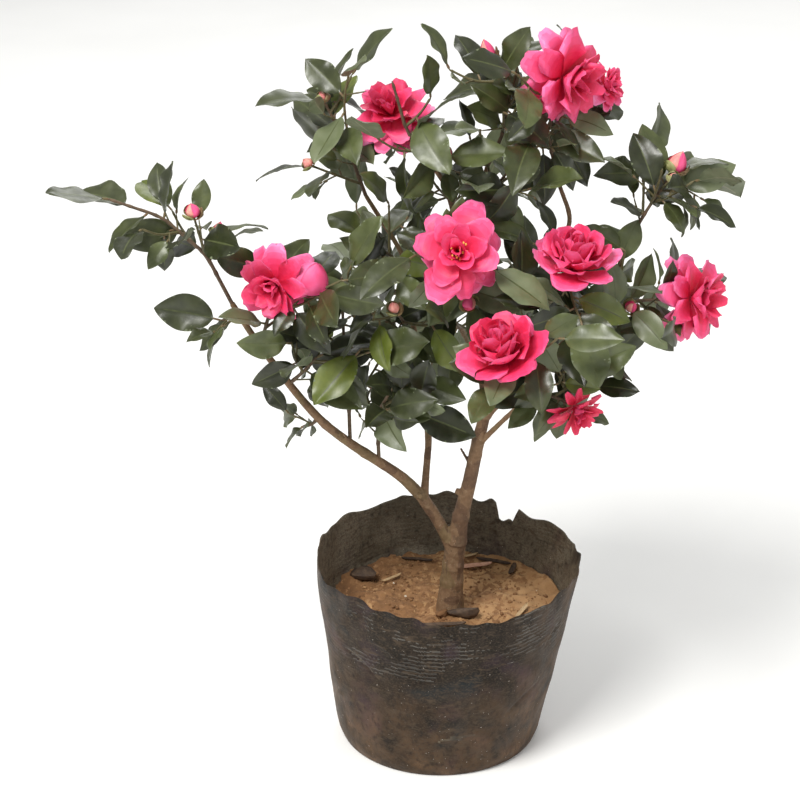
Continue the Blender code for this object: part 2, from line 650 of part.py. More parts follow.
# ---------------------------------------------------------------- limbs and masses as solids
def limb_shell(name, tube):
    corners, faces = tube_shell(tube.path, tube.radii, LIMB_SIDES)
    if name == "trunk":
        for corner in corners[:LIMB_SIDES]:
            corner[2] = SOIL_LEVEL
    return corners, faces


def room_shell(tube):
    """The space that a limb and the gap round it take up."""
    path = tube.path.copy()
    path[0] = path[0] - tube.along(0.0) * GAP
    path[-1] = path[-1] + tube.along(1.0) * GAP
    return tube_shell(path, tube.radii + GAP, LIMB_SIDES)


def cut_clear(piece, rooms, material):
    """Cut from a piece the room of each limb that it runs into."""
    corners = [vertex.co[:] for vertex in piece.data.vertices]
    body = Obstacle(None, (corners, [face.vertices[:] for face in piece.data.polygons]))
    cutters = [shell_object("room", room, material) for room in rooms if body.meets(Obstacle(None, room))]
    for cutter in cutters:
        cutter.hide_render = True
        cutter.display_type = "WIRE"
    if cutters:
        apply_boolean(piece, "DIFFERENCE", cutters)
        keep_largest_shell(piece)


def make_limbs(limbs, materials):
    rooms = []
    for name, tube in limbs.items():
        piece = shell_object(name, limb_shell(name, tube), materials["bark"])
        cut_clear(piece, rooms, materials["bark"])
        smooth_where_round(piece, 50)
        rooms.append(room_shell(tube))
    return rooms


def is_closed(piece):
    body = bmesh.new()
    body.from_mesh(piece.data)
    closed = len(body.faces) > 0 and all(edge.is_manifold for edge in body.edges)
    body.free()
    return closed


def mass_parts(growth, materials):
    """The closed shells of one mass as objects: twigs, leaves, petals, hearts and buds."""
    shells = [(twig_shell(tube), "bark") for tube, _ in growth.twigs]
    shells += [(blade_shell(leaf), "leaf") for leaf in growth.leaves]
    for root, bloom, petals in growth.blooms:
        shells += [(blade_shell(petal), "petal") for petal in petals]
        shells.append((heart_shell(root, bloom), "petal"))
    shells += [(bud_shell(root, axis, bud), "petal") for root, axis, bud in growth.buds]
    return [shell_object(growth.name, shell, materials[key]) for shell, key in shells]


def make_mass(growth, rooms, materials):
    """One mass: its parts joined into one body, and its stem cut clear of the limb. A mass that fails
    with both solvers gets fewer leaves."""
    while True:
        for solver in ("EXACT", "MANIFOLD"):
            mass, *others = mass_parts(growth, materials)
            apply_boolean(mass, "UNION", others, solver)
            keep_largest_shell(mass)
            cut_clear(mass, rooms, materials["bark"])
            if is_closed(mass):
                mass.name = growth.name
                return
            bpy.data.objects.remove(mass)
        growth.leaves.pop()


def main():
    for old in list(bpy.data.objects):
        bpy.data.objects.remove(old)
    materials = {
        "bark": plain_material("bark", (0.16, 0.09, 0.05), 0.85),
        "leaf": plain_material("leaf", (0.05, 0.09, 0.035), 0.40),
        "petal": plain_material("petal", (0.72, 0.06, 0.14), 0.55),
        "black_film": plain_material("black_film", (0.02, 0.018, 0.018), 0.50),
        "soil": plain_material("soil", (0.25, 0.12, 0.05), 0.95),
    }
    make_pot(materials)
    limbs, growths = grow_plant()
    rooms = make_limbs(limbs, materials)
    for growth in growths:
        make_mass(growth, rooms, materials)


main()
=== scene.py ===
"""The looks of a camellia shrub in flower, in a soft black grow bag filled with soil.

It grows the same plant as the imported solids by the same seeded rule, with finer twigs, and makes the
leaves, blooms, bark, bag and soil as modelled meshes. Metres, +Z up.
"""

import json
import math
import random
from collections import namedtuple

import bpy
import numpy as np
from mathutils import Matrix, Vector, noise
from mathutils.bvhtree import BVHTree
from mathutils.kdtree import KDTree

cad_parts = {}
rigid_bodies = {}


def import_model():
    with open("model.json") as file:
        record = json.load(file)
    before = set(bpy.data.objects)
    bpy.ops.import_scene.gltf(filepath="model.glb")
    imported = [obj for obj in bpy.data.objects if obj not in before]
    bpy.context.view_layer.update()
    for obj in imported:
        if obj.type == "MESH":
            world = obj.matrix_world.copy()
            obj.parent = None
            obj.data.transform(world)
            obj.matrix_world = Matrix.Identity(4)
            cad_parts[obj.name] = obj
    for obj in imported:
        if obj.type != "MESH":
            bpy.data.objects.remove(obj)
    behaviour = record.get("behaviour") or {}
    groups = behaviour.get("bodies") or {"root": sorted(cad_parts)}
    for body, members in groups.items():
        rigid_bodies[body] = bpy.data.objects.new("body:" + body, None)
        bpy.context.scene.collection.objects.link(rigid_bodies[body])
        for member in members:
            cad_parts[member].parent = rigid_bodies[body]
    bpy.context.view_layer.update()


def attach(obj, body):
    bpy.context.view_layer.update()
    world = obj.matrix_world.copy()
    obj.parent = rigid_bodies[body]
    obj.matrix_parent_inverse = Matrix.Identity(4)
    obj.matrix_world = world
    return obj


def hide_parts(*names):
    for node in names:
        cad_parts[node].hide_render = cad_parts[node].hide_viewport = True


for old in list(bpy.data.objects):
    bpy.data.objects.remove(old)
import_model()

# ---------------------------------------------------------------- the plant's driving sizes, as packed
UP = np.array([0.0, 0.0, 1.0])
CLEARANCE = 0.0008  # least room round a leaf or twig as it grows
SOIL_LEVEL = 0.122
RIM_RADIUS = 0.1175
RIM_HEIGHT = 0.174
BASE_RADIUS = 0.0914  # where the slanting wall would meet the ground
UNDERSIDE_RADIUS = 0.0895
BULGE = 0.0017
RIM_SHIFT = 0.0112
BASE_SHIFT = 0.0036
NOTCH_ANGLE = math.radians(60)  # a tear in the back of the rim
LIMB_SIDES = 6
LIMB_SPACING = 0.018
ROOT_FLARE = 0.0030
TRUNK_FOOT = (0.013, 0.0, SOIL_LEVEL)
# A limb leaves its parent at a share of the parent's length. It goes through its runs, each one an
# azimuth from +X and a rise above level in degrees, and a length, and tapers between its two radii.
Limb = namedtuple("Limb", "parent share runs root_radius tip_radius")
LIMBS = {
    "trunk": Limb(None, 0.00, [(0, 87, 0.038), (-18, 84, 0.030)], 0.0100, 0.0092),
    "right_stem": Limb("trunk", 1.00, [(-31, 80, 0.034), (-31, 76, 0.024), (-29, 79, 0.055),
                                       (1, 77, 0.026)], 0.0074, 0.0050),
    "left_stem": Limb("trunk", 0.83, [(-178, 65, 0.035), (-168, 56, 0.051), (-171, 39, 0.066),
                                      (-171, 45, 0.045), (-169, 56, 0.077), (-176, 60, 0.047)],
                      0.0056, 0.0024),
    "middle_stem": Limb("left_stem", 0.19, [(80, 63, 0.027), (77, 68, 0.024), (108, 70, 0.050),
                                            (128, 76, 0.074), (145, 83, 0.040), (-171, 61, 0.072)],
                        0.0032, 0.0018),
    "crown_stem": Limb("right_stem", 1.00, [(109, 67, 0.033), (132, 75, 0.106), (-177, 77, 0.059),
                                            (179, 58, 0.017)], 0.0044, 0.0021),
    "top_stem": Limb("crown_stem", 0.42, [(72, 62, 0.040), (102, 84, 0.048), (-31, 76, 0.038)],
                     0.0026, 0.0019),
    "right_bough": Limb("right_stem", 0.94, [(-22, 50, 0.025), (-8, 48, 0.031), (1, 45, 0.065),
                                             (37, 45, 0.048), (41, 63, 0.032)], 0.0034, 0.0019),
    "upper_right_bough": Limb("crown_stem", 0.18, [(57, 28, 0.046), (9, 60, 0.058), (-11, 59, 0.049),
                                                   (-125, 66, 0.045)], 0.0028, 0.0018),
    "low_right_bough": Limb("right_stem", 0.73, [(-48, 48, 0.038), (-57, 45, 0.051)], 0.0024, 0.0018),
    "back_bough": Limb("crown_stem", 0.10, [(98, 4, 0.074), (102, 4, 0.031)], 0.0032, 0.0024),
}

GOLDEN_TURN = math.radians(137.5)
SPOKE_HINT = np.array([0.21, -0.13, 1.0])  # never quite in line with a twig
RING_HINT = np.array([0.31, -0.87, 0.38])  # where rings of corners start
PETAL_HINT = np.array([0.22, 0.41, 0.88])  # where rings of petals start
CROWN_AXIS = np.array([0.0, 0.02, 0.40])
LIGHT = np.array([0.0, -0.60, 0.80])  # leaves turn their upper faces this way
TWIG_SPACING = 0.040
STEM_RADII = (0.0018, 0.0011)
SIDE_TWIG_RADII = (0.0013, 0.0009)
BARE_ROOT = 0.012
TWIG_TRIES = 12
LEAF_TRIES = 9
LEAF_LENGTH = (0.046, 0.064)
LEAF_PITCH = 0.0215  # a side twig has one leaf for each such length
LEAFY_SHARE = 0.60  # of a twig's length
SPACE_OVERLAP = 0.020  # how far a twig or leaf may reach towards another mass's stem
LEAF_STATIONS = ((0.34, 1.0), (0.70, 0.86))
PETAL_STATIONS = ((0.44, 0.74), (0.86, 1.0))
# How many outer petals, how far they open in degrees, and their width as a share of their length.
BLOOM_FORMS = {
    "open": (8, 74, 0.66),
    "rose": (7, 62, 0.74),
    "ragged": (6, 72, 0.74),
    "strap": (9, 62, 0.32),
}
Blade = namedtuple("Blade", "root along face length width thickness fold arch stations")
Bloom = namedtuple("Bloom", "axis radius form")
Bud = namedtuple("Bud", "length radius")
# A mass's stem leaves its limb at a share of the limb's length, goes through its runs, has this many
# leaves and may end in a bloom or bud. Its side twigs, each about as long as the mass's reach, and all
# its leaves follow from its seed. Its shoots are listed one by one, because they carry a bloom, a bud or a
# tip.
Mass = namedtuple("Mass", "limb share stem leaves twigs reach seed end shoots leaf_size",
                  defaults=(None, (), 1.0))
Shoot = namedtuple("Shoot", "share runs leaves end", defaults=(None,))
MASSES = {
    "left_tip": Mass("left_stem", 1.00, [(180, 65, 0.048), (-176, 44, 0.049), (-170, 23, 0.048)],
                     7, 2, 0.045, 1173, shoots=[
        Shoot(0.34, [(-108, 63, 0.046)], 2, Bud(0.014, 0.0075)),
        Shoot(0.28, [(99, 12, 0.010), (57, 51, 0.020)], 3, Bud(0.013, 0.0070)),
    ]),
    "left_side": Mass("left_stem", 0.95, [(-172, 8, 0.010), (178, -20, 0.008)], 2, 0, 0.0, 928),
    "left_bloom": Mass("left_stem", 0.86, [(-58, 61, 0.024), (-36, 73, 0.046)], 2, 3, 0.060, 490,
                       Bloom((-0.30, -0.92, -0.10), 0.036, "ragged"), [
        Shoot(0.45, [(4, 26, 0.025), (-39, 54, 0.027)], 2, Bud(0.030, 0.0155)),
    ]),
    "left_middle": Mass("left_stem", 0.72, [(-28, 43, 0.012), (-16, 50, 0.027)], 4, 3, 0.045, 116),
    "left_low": Mass("left_stem", 0.59, [(-174, -48, 0.009), (-178, -6, 0.007)],
                     3, 0, 0.0, 604, leaf_size=0.55),
    "left_upright": Mass("left_stem", 0.47, [(101, 82, 0.051), (117, 80, 0.051), (-170, 89, 0.049)],
                         6, 3, 0.055, 312),
    "low_centre": Mass("left_stem", 0.37, [(125, 86, 0.045), (-60, 52, 0.044)], 3, 4, 0.058, 99),
    "centre_left": Mass("middle_stem", 0.46, [(-107, 48, 0.059), (-102, 34, 0.049)],
                        3, 4, 0.068, 325, Bud(0.014, 0.0060)),
    "inner_left": Mass("middle_stem", 0.70, [(-114, 42, 0.044), (-112, 31, 0.025)], 3, 3, 0.046, 396),
    "upper_left": Mass("middle_stem", 1.00, [(-154, 70, 0.049), (-159, 64, 0.048)],
                       5, 3, 0.046, 937, Bud(0.010, 0.0050), [
        Shoot(0.45, [(-103, 70, 0.054), (-53, 73, 0.022)], 4),
        Shoot(0.12, [(-155, 26, 0.034), (-162, 26, 0.018)], 3, Bud(0.010, 0.0060)),
    ]),
    "upper_left_bloom": Mass("crown_stem", 1.00, [(-146, 53, 0.050), (-132, 69, 0.050)],
                             4, 2, 0.042, 625, shoots=[
        Shoot(0.35, [(131, 28, 0.033)], 1, Bloom((-0.20, -0.50, 0.84), 0.037, "ragged")),
        Shoot(0.12, [(-52, 28, 0.023)], 2, Bud(0.012, 0.0065)),
    ]),
    "top": Mass("top_stem", 1.00, [(-27, 66, 0.036), (-69, 78, 0.036), (-158, 61, 0.035)],
                6, 4, 0.045, 975, Bud(0.022, 0.0075), [
        Shoot(0.55, [(3, 47, 0.024)], 3, Bud(0.012, 0.0055)),
    ]),
    "top_right": Mass("upper_right_bough", 1.00, [(-134, 70, 0.053), (-59, 73, 0.056)], 5, 3, 0.055, 487,
                      Bloom((0.72, -0.62, -0.05), 0.043, "ragged"), [
        Shoot(0.55, [(29, -14, 0.032), (23, 61, 0.040)], 3, Bloom((0.75, -0.35, 0.45), 0.022, "ragged")),
    ]),
    "upper_middle": Mass("top_stem", 0.75, [(-58, 35, 0.020), (-52, 44, 0.027)], 3, 4, 0.052, 114),
    "right_top": Mass("right_bough", 1.00, [(0, 63, 0.038), (0, 58, 0.038)],
                      5, 3, 0.055, 1309, Bud(0.021, 0.0095), [
        Shoot(0.55, [(-16, 28, 0.028), (0, 40, 0.014)], 5),
        Shoot(0.75, [(-66, 38, 0.021)], 0, Bud(0.010, 0.0050)),
    ]),
    "right": Mass("right_bough", 0.66, [(5, 16, 0.041), (-2, 5, 0.043)], 5, 3, 0.060, 2246,
                  Bloom((0.78, -0.60, 0.10), 0.040, "ragged"), [
        Shoot(0.25, [(-73, 20, 0.034)], 1, Bud(0.014, 0.0065)),
    ]),
    "centre": Mass("crown_stem", 0.62, [(-96, 15, 0.052), (-91, 28, 0.063)], 3, 3, 0.045, 386,
                   Bloom((-0.12, -0.88, 0.42), 0.046, "open"), [
        Shoot(0.50, [(-73, -44, 0.036)], 3, Bud(0.013, 0.0075)),
    ]),
    "centre_right": Mass("upper_right_bough", 0.45, [(-75, 19, 0.055), (-77, 30, 0.075)], 4, 4, 0.055, 353,
                         Bloom((0.05, -0.25, 0.96), 0.040, "rose")),
    "low_right": Mass("right_bough", 0.30, [(-89, 33, 0.058), (-113, 22, 0.073)], 3, 4, 0.052, 71,
                      Bloom((-0.35, -0.30, 0.88), 0.041, "rose")),
    "right_low": Mass("right_bough", 0.45, [(-75, 21, 0.043), (-55, 43, 0.033)], 3, 4, 0.055, 4),
    "hanging_right": Mass("low_right_bough", 1.00, [(-42, 33, 0.027), (-37, -9, 0.029)], 4, 2, 0.040, 575,
                          Bloom((0.45, -0.78, -0.42), 0.028, "strap")),
    "back_left": Mass("middle_stem", 0.58, [(98, 14, 0.047), (100, 0, 0.051)], 3, 4, 0.062, 311),
    "back_low": Mass("back_bough", 1.00, [(96, -15, 0.031), (93, -16, 0.042)], 3, 4, 0.046, 382),
    "back_right": Mass("upper_right_bough", 0.30, [(67, 1, 0.056), (72, -5, 0.053)], 3, 4, 0.060, 275),
    "back_top": Mass("crown_stem", 0.78, [(89, -3, 0.059), (82, 7, 0.040)], 3, 4, 0.065, 215),
}


# ---------------------------------------------------------------- curves and directions
def unit(vector):
    return np.asarray(vector, float) / np.linalg.norm(vector)


def across(direction, hint):
    """The unit vector nearest to hint that is square to direction."""
    return unit(hint - direction * np.dot(hint, direction))


def turned(vector, axis, angle):
    """The vector turned about an axis."""
    return (vector * math.cos(angle) + np.cross(axis, vector) * math.sin(angle)
            + axis * np.dot(axis, vector) * (1 - math.cos(angle)))


def heading(azimuth, rise):
    """The unit vector at an azimuth from +X and a rise above level, both in degrees."""
    azimuth, rise = math.radians(azimuth), math.radians(rise)
    return np.array([math.cos(rise) * math.cos(azimuth), math.cos(rise) * math.sin(azimuth), math.sin(rise)])


def follow(start, runs):
    """The corners of a way that goes through runs of (azimuth, rise, length) from a start."""
    corners = [np.array(start, float)]
    for azimuth, rise, length in runs:
        corners.append(corners[-1] + heading(azimuth, rise) * length)
    return corners


def smooth_path(points, spacing):
    """Points about spacing apart on one smooth curve through the given points."""
    knots = [np.array(point, float) for point in points]
    knots = [2 * knots[0] - knots[1]] + knots + [2 * knots[-1] - knots[-2]]
    path = []
    for before, start, end, after in zip(knots, knots[1:], knots[2:], knots[3:]):
        steps = max(1, round(np.linalg.norm(end - start) / spacing))
        for t in np.arange(steps) / steps:
            path.append(start + 0.5 * t * (end - before)
                        + t ** 2 * (before - 2.5 * start + 2 * end - 0.5 * after)
                        + t ** 3 * (1.5 * start - 0.5 * before - 1.5 * end + 0.5 * after))
    return np.array(path + [knots[-2]])


class Tube:
    """A limb or twig: a path whose radius tapers from root to tip."""

    def __init__(self, points, radii, spacing):
        self.path = smooth_path(points, spacing)
        steps = np.linalg.norm(np.diff(self.path, axis=0), axis=1)
        self.length = steps.sum()
        self.shares = np.concatenate([[0.0], np.cumsum(steps)]) / self.length
        self.radii = radii[0] + (radii[1] - radii[0]) * self.shares

    def at(self, share):
        return np.array([np.interp(share, self.shares, self.path[:, axis]) for axis in range(3)])

    def along(self, share):
        return unit(self.at(min(1.0, share + 0.04)) - self.at(max(0.0, share - 0.04)))

    def radius(self, share):
        return np.interp(share, self.shares, self.radii)


# ---------------------------------------------------------------- closed shells: corners and faces
def tube_shell(path, radii, sides):
    corners = []
    spoke = across(unit(path[1] - path[0]), RING_HINT)
    for index, centre in enumerate(path):
        ahead = unit(path[min(index + 1, len(path) - 1)] - path[max(index - 1, 0)])
        spoke = across(ahead, spoke)
        for step in range(sides):
            corners.append(centre + radii[index] * turned(spoke, ahead, 2 * math.pi * step / sides))
    faces = [tuple(reversed(range(sides))), tuple(range(len(corners) - sides, len(corners)))]
    for first in range(0, len(corners) - sides, sides):
        for step in range(sides):
            ahead = (step + 1) % sides
            faces.append((first + step, first + ahead, first + sides + ahead, first + sides + step))
    return corners, faces


def twig_shell(tube, grow=0.0, bare_root=0.0):
    """A three-sided twig, or its part beyond a length at its root."""
    start = min(0.6, bare_root / tube.length)
    kept = tube.shares > start + 0.05
    path = np.concatenate([[tube.at(start)], tube.path[kept]])
    radii = np.concatenate([[tube.radius(start)], tube.radii[kept]])
    return tube_shell(path, radii + grow, 3)


def blade_shell(blade, grow=0.0, start=0.0):
    """A leaf or petal: a folded blade of twelve faces with sharp edges, from its root to its tip."""
    side = np.cross(blade.along, blade.face)

    def place(share, offset, height):
        lift = height - blade.arch * blade.length * share ** 2
        return blade.root + blade.along * blade.length * share + side * offset + blade.face * lift

    half = blade.thickness / 2 + grow
    corners = [place(start, 0.0, 0.0)]
    for share, width_share in blade.stations:
        reach = blade.width / 2 * width_share + grow
        corners += [place(share, -reach, reach * blade.fold), place(share, reach, reach * blade.fold)]
    corners.append(place(1.0 + grow / blade.length, 0.0, 0.0))
    middle = (blade.stations[0][0] + blade.stations[1][0]) / 2
    corners += [place(middle, 0.0, half), place(middle, 0.0, -half)]
    outline = (0, 1, 3, 5, 4, 2)
    faces = []
    for here, ahead in zip(outline, outline[1:] + outline[:1]):
        faces += [(here, 6, ahead), (here, ahead, 7)]
    return corners, faces


def spindle_shell(root, axis, length, radius, sides):
    """Two rings between two ends."""
    spoke = across(axis, RING_HINT)
    corners = [root]
    for share, width_share in ((0.30, 0.94), (0.72, 0.78)):
        for step in range(sides):
            corners.append(root + axis * length * share
                           + turned(spoke, axis, 2 * math.pi * step / sides) * radius * width_share)
    corners.append(root + axis * length)
    faces = []
    for step in range(sides):
        here = 1 + step
        ahead = 1 + (step + 1) % sides
        faces += [(0, ahead, here), (here, ahead, sides + ahead, sides + here),
                  (sides + here, sides + ahead, 1 + 2 * sides)]
    return corners, faces


def bud_shell(root, axis, bud):
    return spindle_shell(root, axis, bud.length, bud.radius, 5)


def heart_shell(root, bloom):
    """The closed heart of a bloom: its inner petals, which hold the outer ones' roots."""
    axis = unit(bloom.axis)
    length = bloom.radius * 0.80
    return spindle_shell(root - axis * length * 0.16, axis, length, bloom.radius * 0.48, 7)


class Obstacle:
    """A closed shell that other pieces keep clear of."""

    def __init__(self, owner, shell):
        corners, faces = shell
        corners = np.array(corners)
        self.owner = owner
        self.low = corners.min(axis=0)
        self.high = corners.max(axis=0)
        self.tree = BVHTree.FromPolygons(corners.tolist(), faces)

    def meets(self, other):
        apart = (self.low > other.high).any() or (other.low > self.high).any()
        return not apart and bool(self.tree.overlap(other.tree))


# ---------------------------------------------------------------- the rule of growth
def bloom_petals(root, bloom):
    """The outer petals of one bloom, in an uneven ring round its axis."""
    axis = unit(bloom.axis)
    first = across(axis, PETAL_HINT)
    count, opening, width_share = BLOOM_FORMS[bloom.form]
    petals = []
    for step in range(count):
        wobble = math.sin(2.4 * step + 0.4)
        spoke = turned(first, axis, 2 * math.pi * (step + 0.12 * wobble) / count)
        tilt = math.radians(opening + 8 * wobble * (-1) ** step)
        along = axis * math.cos(tilt) + spoke * math.sin(tilt)
        face = axis * math.sin(tilt) - spoke * math.cos(tilt)
        length = bloom.radius * (0.96 + 0.04 * wobble)
        petals.append(Blade(root, along, face, length, length * width_share, 0.0016, 0.20, 0.05,
                            PETAL_STATIONS))
    return petals


def leaf_try(tube, share, turn, chance, attempt, size=1.0):
    """One way that a leaf can stand at a share of its twig."""
    root = tube.at(share)
    ahead = tube.along(share)
    near_tip = max(0.0, (share - 0.80) / 0.20)
    spread = math.radians(chance.uniform(46, 72) - 36 * near_tip + 6 * attempt)
    spoke = turned(across(ahead, SPOKE_HINT), ahead, turn + 0.9 * attempt)
    outward = unit((root - CROWN_AXIS) * np.array([1.0, 1.0, 0.25]))
    along = unit(ahead * math.cos(spread) + spoke * math.sin(spread) - UP * chance.uniform(0.0, 0.5))
    face = across(along, LIGHT * 0.75 + outward * 0.50 + ahead * 0.20)
    face = turned(face, along, math.radians(chance.gauss(0, 22)))
    length = chance.uniform(*LEAF_LENGTH) * (1.0 - 0.05 * attempt) * size
    width = length * chance.uniform(0.46, 0.55)
    return Blade(root, along, face, length, width, 0.0009, 0.16, chance.uniform(0.02, 0.12), LEAF_STATIONS)


class Growth:
    """What grows in one mass: its stem and twigs, leaves, blooms and buds."""

    def __init__(self, name, limbs):
        self.name = name
        self.mass = MASSES[name]
        self.root = limbs[self.mass.limb].at(self.mass.share)
        self.twigs = []
        self.leaves = []
        self.blooms = []
        self.buds = []

    def chance(self, *what):
        """The seeded chances of one twig or leaf of this mass."""
        return random.Random(f"{self.mass.seed} {what}")

    def grow_shoots(self, obstacles):
        """The stem, then the shoots that are listed, each with its bloom or bud."""
        stem = Shoot(0.0, self.mass.stem, self.mass.leaves, self.mass.end)
        for shoot in (stem, *self.mass.shoots):
            root = self.twigs[0][0].at(shoot.share) if self.twigs else self.root
            radii = SIDE_TWIG_RADII if self.twigs else STEM_RADII
            tube = Tube(follow(root, shoot.runs), radii, TWIG_SPACING)
            self.keep_twig(tube, shoot.leaves, obstacles)
            self.grow_end(tube, shoot.end, obstacles)

    def keep_twig(self, tube, leaves, obstacles):
        self.twigs.append((tube, leaves))
        obstacles.append(Obstacle(self.name, twig_shell(tube)))

    def grow_end(self, tube, end, obstacles):
        """The bloom or bud at a twig's tip."""
        root = tube.path[-1]
        if isinstance(end, Bloom):
            petals = bloom_petals(root, end)
            self.blooms.append((root, end, petals))
            obstacles += [Obstacle(self.name, blade_shell(petal)) for petal in petals]
            obstacles.append(Obstacle(self.name, heart_shell(root, end)))
        if isinstance(end, Bud):
            axis = unit(tube.along(1.0) + UP * 0.5)
            self.buds.append((root - axis * end.length * 0.15, axis, end))
            obstacles.append(Obstacle(self.name, bud_shell(*self.buds[-1])))

    def side_twig(self, number, attempt):
        """One way that the stem's next side twig can go: round the stem by the golden turn."""
        chance = self.chance("twig", number)
        share = 0.18 + 0.70 * (number + chance.random()) / self.mass.twigs
        stem = self.twigs[0][0]
        turn = self.chance("turn").uniform(0, 2 * math.pi) + GOLDEN_TURN * number + 0.8 * attempt
        spoke = turned(across(stem.along(share), SPOKE_HINT), stem.along(share), turn)
        spread = math.radians(chance.uniform(38, 68))
        ahead = unit(stem.along(share) * math.cos(spread) + spoke * math.sin(spread))
        length = self.mass.reach * chance.uniform(0.8, 1.15) * (1 - 0.04 * attempt)
        middle = stem.at(share) + ahead * length * 0.5
        tip = middle + unit(ahead + UP * 0.4) * length * 0.5
        return Tube([stem.at(share), middle, tip], SIDE_TWIG_RADII, TWIG_SPACING)

    def grow_side_twigs(self, obstacles, in_own_space):
        """Side twigs on the stem; a twig that finds no room is left out."""
        petals = [Obstacle(None, blade_shell(petal)) for _, _, petals in self.blooms for petal in petals]
        others = [other for other in obstacles if other.owner != self.name] + petals
        for number in range(self.mass.twigs):
            for attempt in range(TWIG_TRIES):
                tube = self.side_twig(number, attempt)
                outer = Obstacle(self.name, twig_shell(tube, CLEARANCE, BARE_ROOT))
                if in_own_space(self, tube.path[-1]) and not any(outer.meets(other) for other in others):
                    self.keep_twig(tube, round(tube.length / LEAF_PITCH), obstacles)
                    break

    def grow_leaves(self, obstacles, in_own_space):
        """Leaves in a spiral back from each twig's tip; a leaf that finds no room is left out."""
        others = [other for other in obstacles if other.owner != self.name]
        own = [other for other in obstacles if other.owner == self.name]
        for number, (tube, leaves) in enumerate(self.twigs):
            first_turn = self.chance("leaves", number).uniform(0, 2 * math.pi)
            for index in range(leaves):
                chance = self.chance("leaf", number, index)
                share = 0.985 - LEAFY_SHARE * (index / max(1, leaves - 1)) ** 0.85
                for attempt in range(LEAF_TRIES):
                    leaf = leaf_try(tube, share, first_turn + GOLDEN_TURN * index, chance, attempt,
                                    self.mass.leaf_size)
                    if in_own_space(self, leaf.root + leaf.along * leaf.length) \
                            and self.has_room(leaf, own, others):
                        self.leaves.append(leaf)
                        own.append(Obstacle(self.name, blade_shell(leaf, 0.0, 0.22)))
                        obstacles.append(Obstacle(self.name, blade_shell(leaf)))
                        break

    def has_room(self, leaf, own, others):
        """Clear of other masses and limbs, and beyond its root clear of its own mass."""
        whole = Obstacle(self.name, blade_shell(leaf, CLEARANCE))
        outer = Obstacle(self.name, blade_shell(leaf, CLEARANCE / 2, 0.22))
        return not (any(whole.meets(other) for other in others) or any(outer.meets(other) for other in own))


def grow_limbs():
    limbs = {}
    for name, limb in LIMBS.items():
        start = limbs[limb.parent].at(limb.share) if limb.parent else TRUNK_FOOT
        limbs[name] = Tube(follow(start, limb.runs), (limb.root_radius, limb.tip_radius), LIMB_SPACING)
    limbs["trunk"].radii += ROOT_FLARE * (1 - limbs["trunk"].shares) ** 3
    return limbs


def grow_plant():
    """The limbs, then every mass's stem with its blooms, then side twigs and leaves, mass by mass.

    Comes with the obstacles that all of it makes for what grows later."""
    limbs = grow_limbs()
    obstacles = [Obstacle(None, tube_shell(tube.path, tube.radii, LIMB_SIDES)) for tube in limbs.values()]
    growths = [Growth(name, limbs) for name in MASSES]
    for growth in growths:
        growth.grow_shoots(obstacles)
    spaces = {growth.name: np.concatenate([tube.path for tube, _ in growth.twigs]) for growth in growths}

    def in_own_space(growth, point):
        """Whether a point is nearer to its mass's twigs than to another's stem, within the overlap."""
        own = min(np.linalg.norm(tube.path - point, axis=1).min() for tube, _ in growth.twigs)
        return all(own < np.linalg.norm(path - point, axis=1).min() + SPACE_OVERLAP
                   for name, path in spaces.items() if name != growth.name)

    for growth in growths:
        growth.grow_side_twigs(obstacles, in_own_space)
        growth.grow_leaves(obstacles, in_own_space)
    return limbs, growths, obstacles


# ---------------------------------------------------------------- meshes and objects
def placed(name, data):
    """A new object in the scene."""
    made = bpy.data.objects.new(name, data)
    bpy.context.scene.collection.objects.link(made)
    return made


def noise_at(x, y, z):
    return noise.noise(Vector((x, y, z)))


def smooth(share, low, high):
    """A soft step from 0 at low to 1 at high."""
    share = np.clip((share - low) / (high - low), 0.0, 1.0)
    return share * share * (3.0 - 2.0 * share)


class Batch:
    """Many small closed meshes of quads, gathered into one object."""

    def __init__(self):
        self.corners = []
        self.quads = []
        self.slots = []
        self.size = 0

    def add(self, corners, quads, slots):
        self.corners.append(np.asarray(corners, np.float32).reshape(-1, 3))
        self.quads.append(np.asarray(quads) + self.size)
        self.slots.append(np.broadcast_to(slots, len(quads)))
        self.size += len(self.corners[-1])

    def make(self, name, materials, sharp_degrees=60):
        mesh = bpy.data.meshes.new(name)
        corners = np.concatenate(self.corners)
        quads = np.concatenate(self.quads).astype(np.int32)
        mesh.vertices.add(len(corners))
        mesh.vertices.foreach_set("co", corners.ravel())
        mesh.loops.add(quads.size)
        mesh.loops.foreach_set("vertex_index", quads.ravel())
        mesh.polygons.add(len(quads))
        mesh.polygons.foreach_set("loop_start", np.arange(0, quads.size, 4, dtype=np.int32))
        mesh.polygons.foreach_set("material_index", np.concatenate(self.slots).astype(np.int32))
        mesh.update(calc_edges=True)
        for material in materials:
            mesh.materials.append(material)
        mesh.shade_smooth()
        mesh.set_sharp_from_angle(angle=math.radians(sharp_degrees))
        piece = placed(name, mesh)
        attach(piece, "root")
        return piece


def sheet_quads(rows, columns):
    """The faces of a thin solid whose upper and lower grids share their border: the upper ones first."""
    upper = np.arange((rows + 1) * (columns + 1)).reshape(rows + 1, columns + 1)
    lower = upper.copy()
    lower[1:-1, 1:-1] = upper.size + np.arange((rows - 1) * (columns - 1)).reshape(rows - 1, columns - 1)

    def quads(grid):
        cells = np.stack([grid[:-1, :-1], grid[:-1, 1:], grid[1:, 1:], grid[1:, :-1]], axis=-1)
        return cells.reshape(-1, 4)

    return np.concatenate([quads(upper), quads(lower)[:, ::-1]])


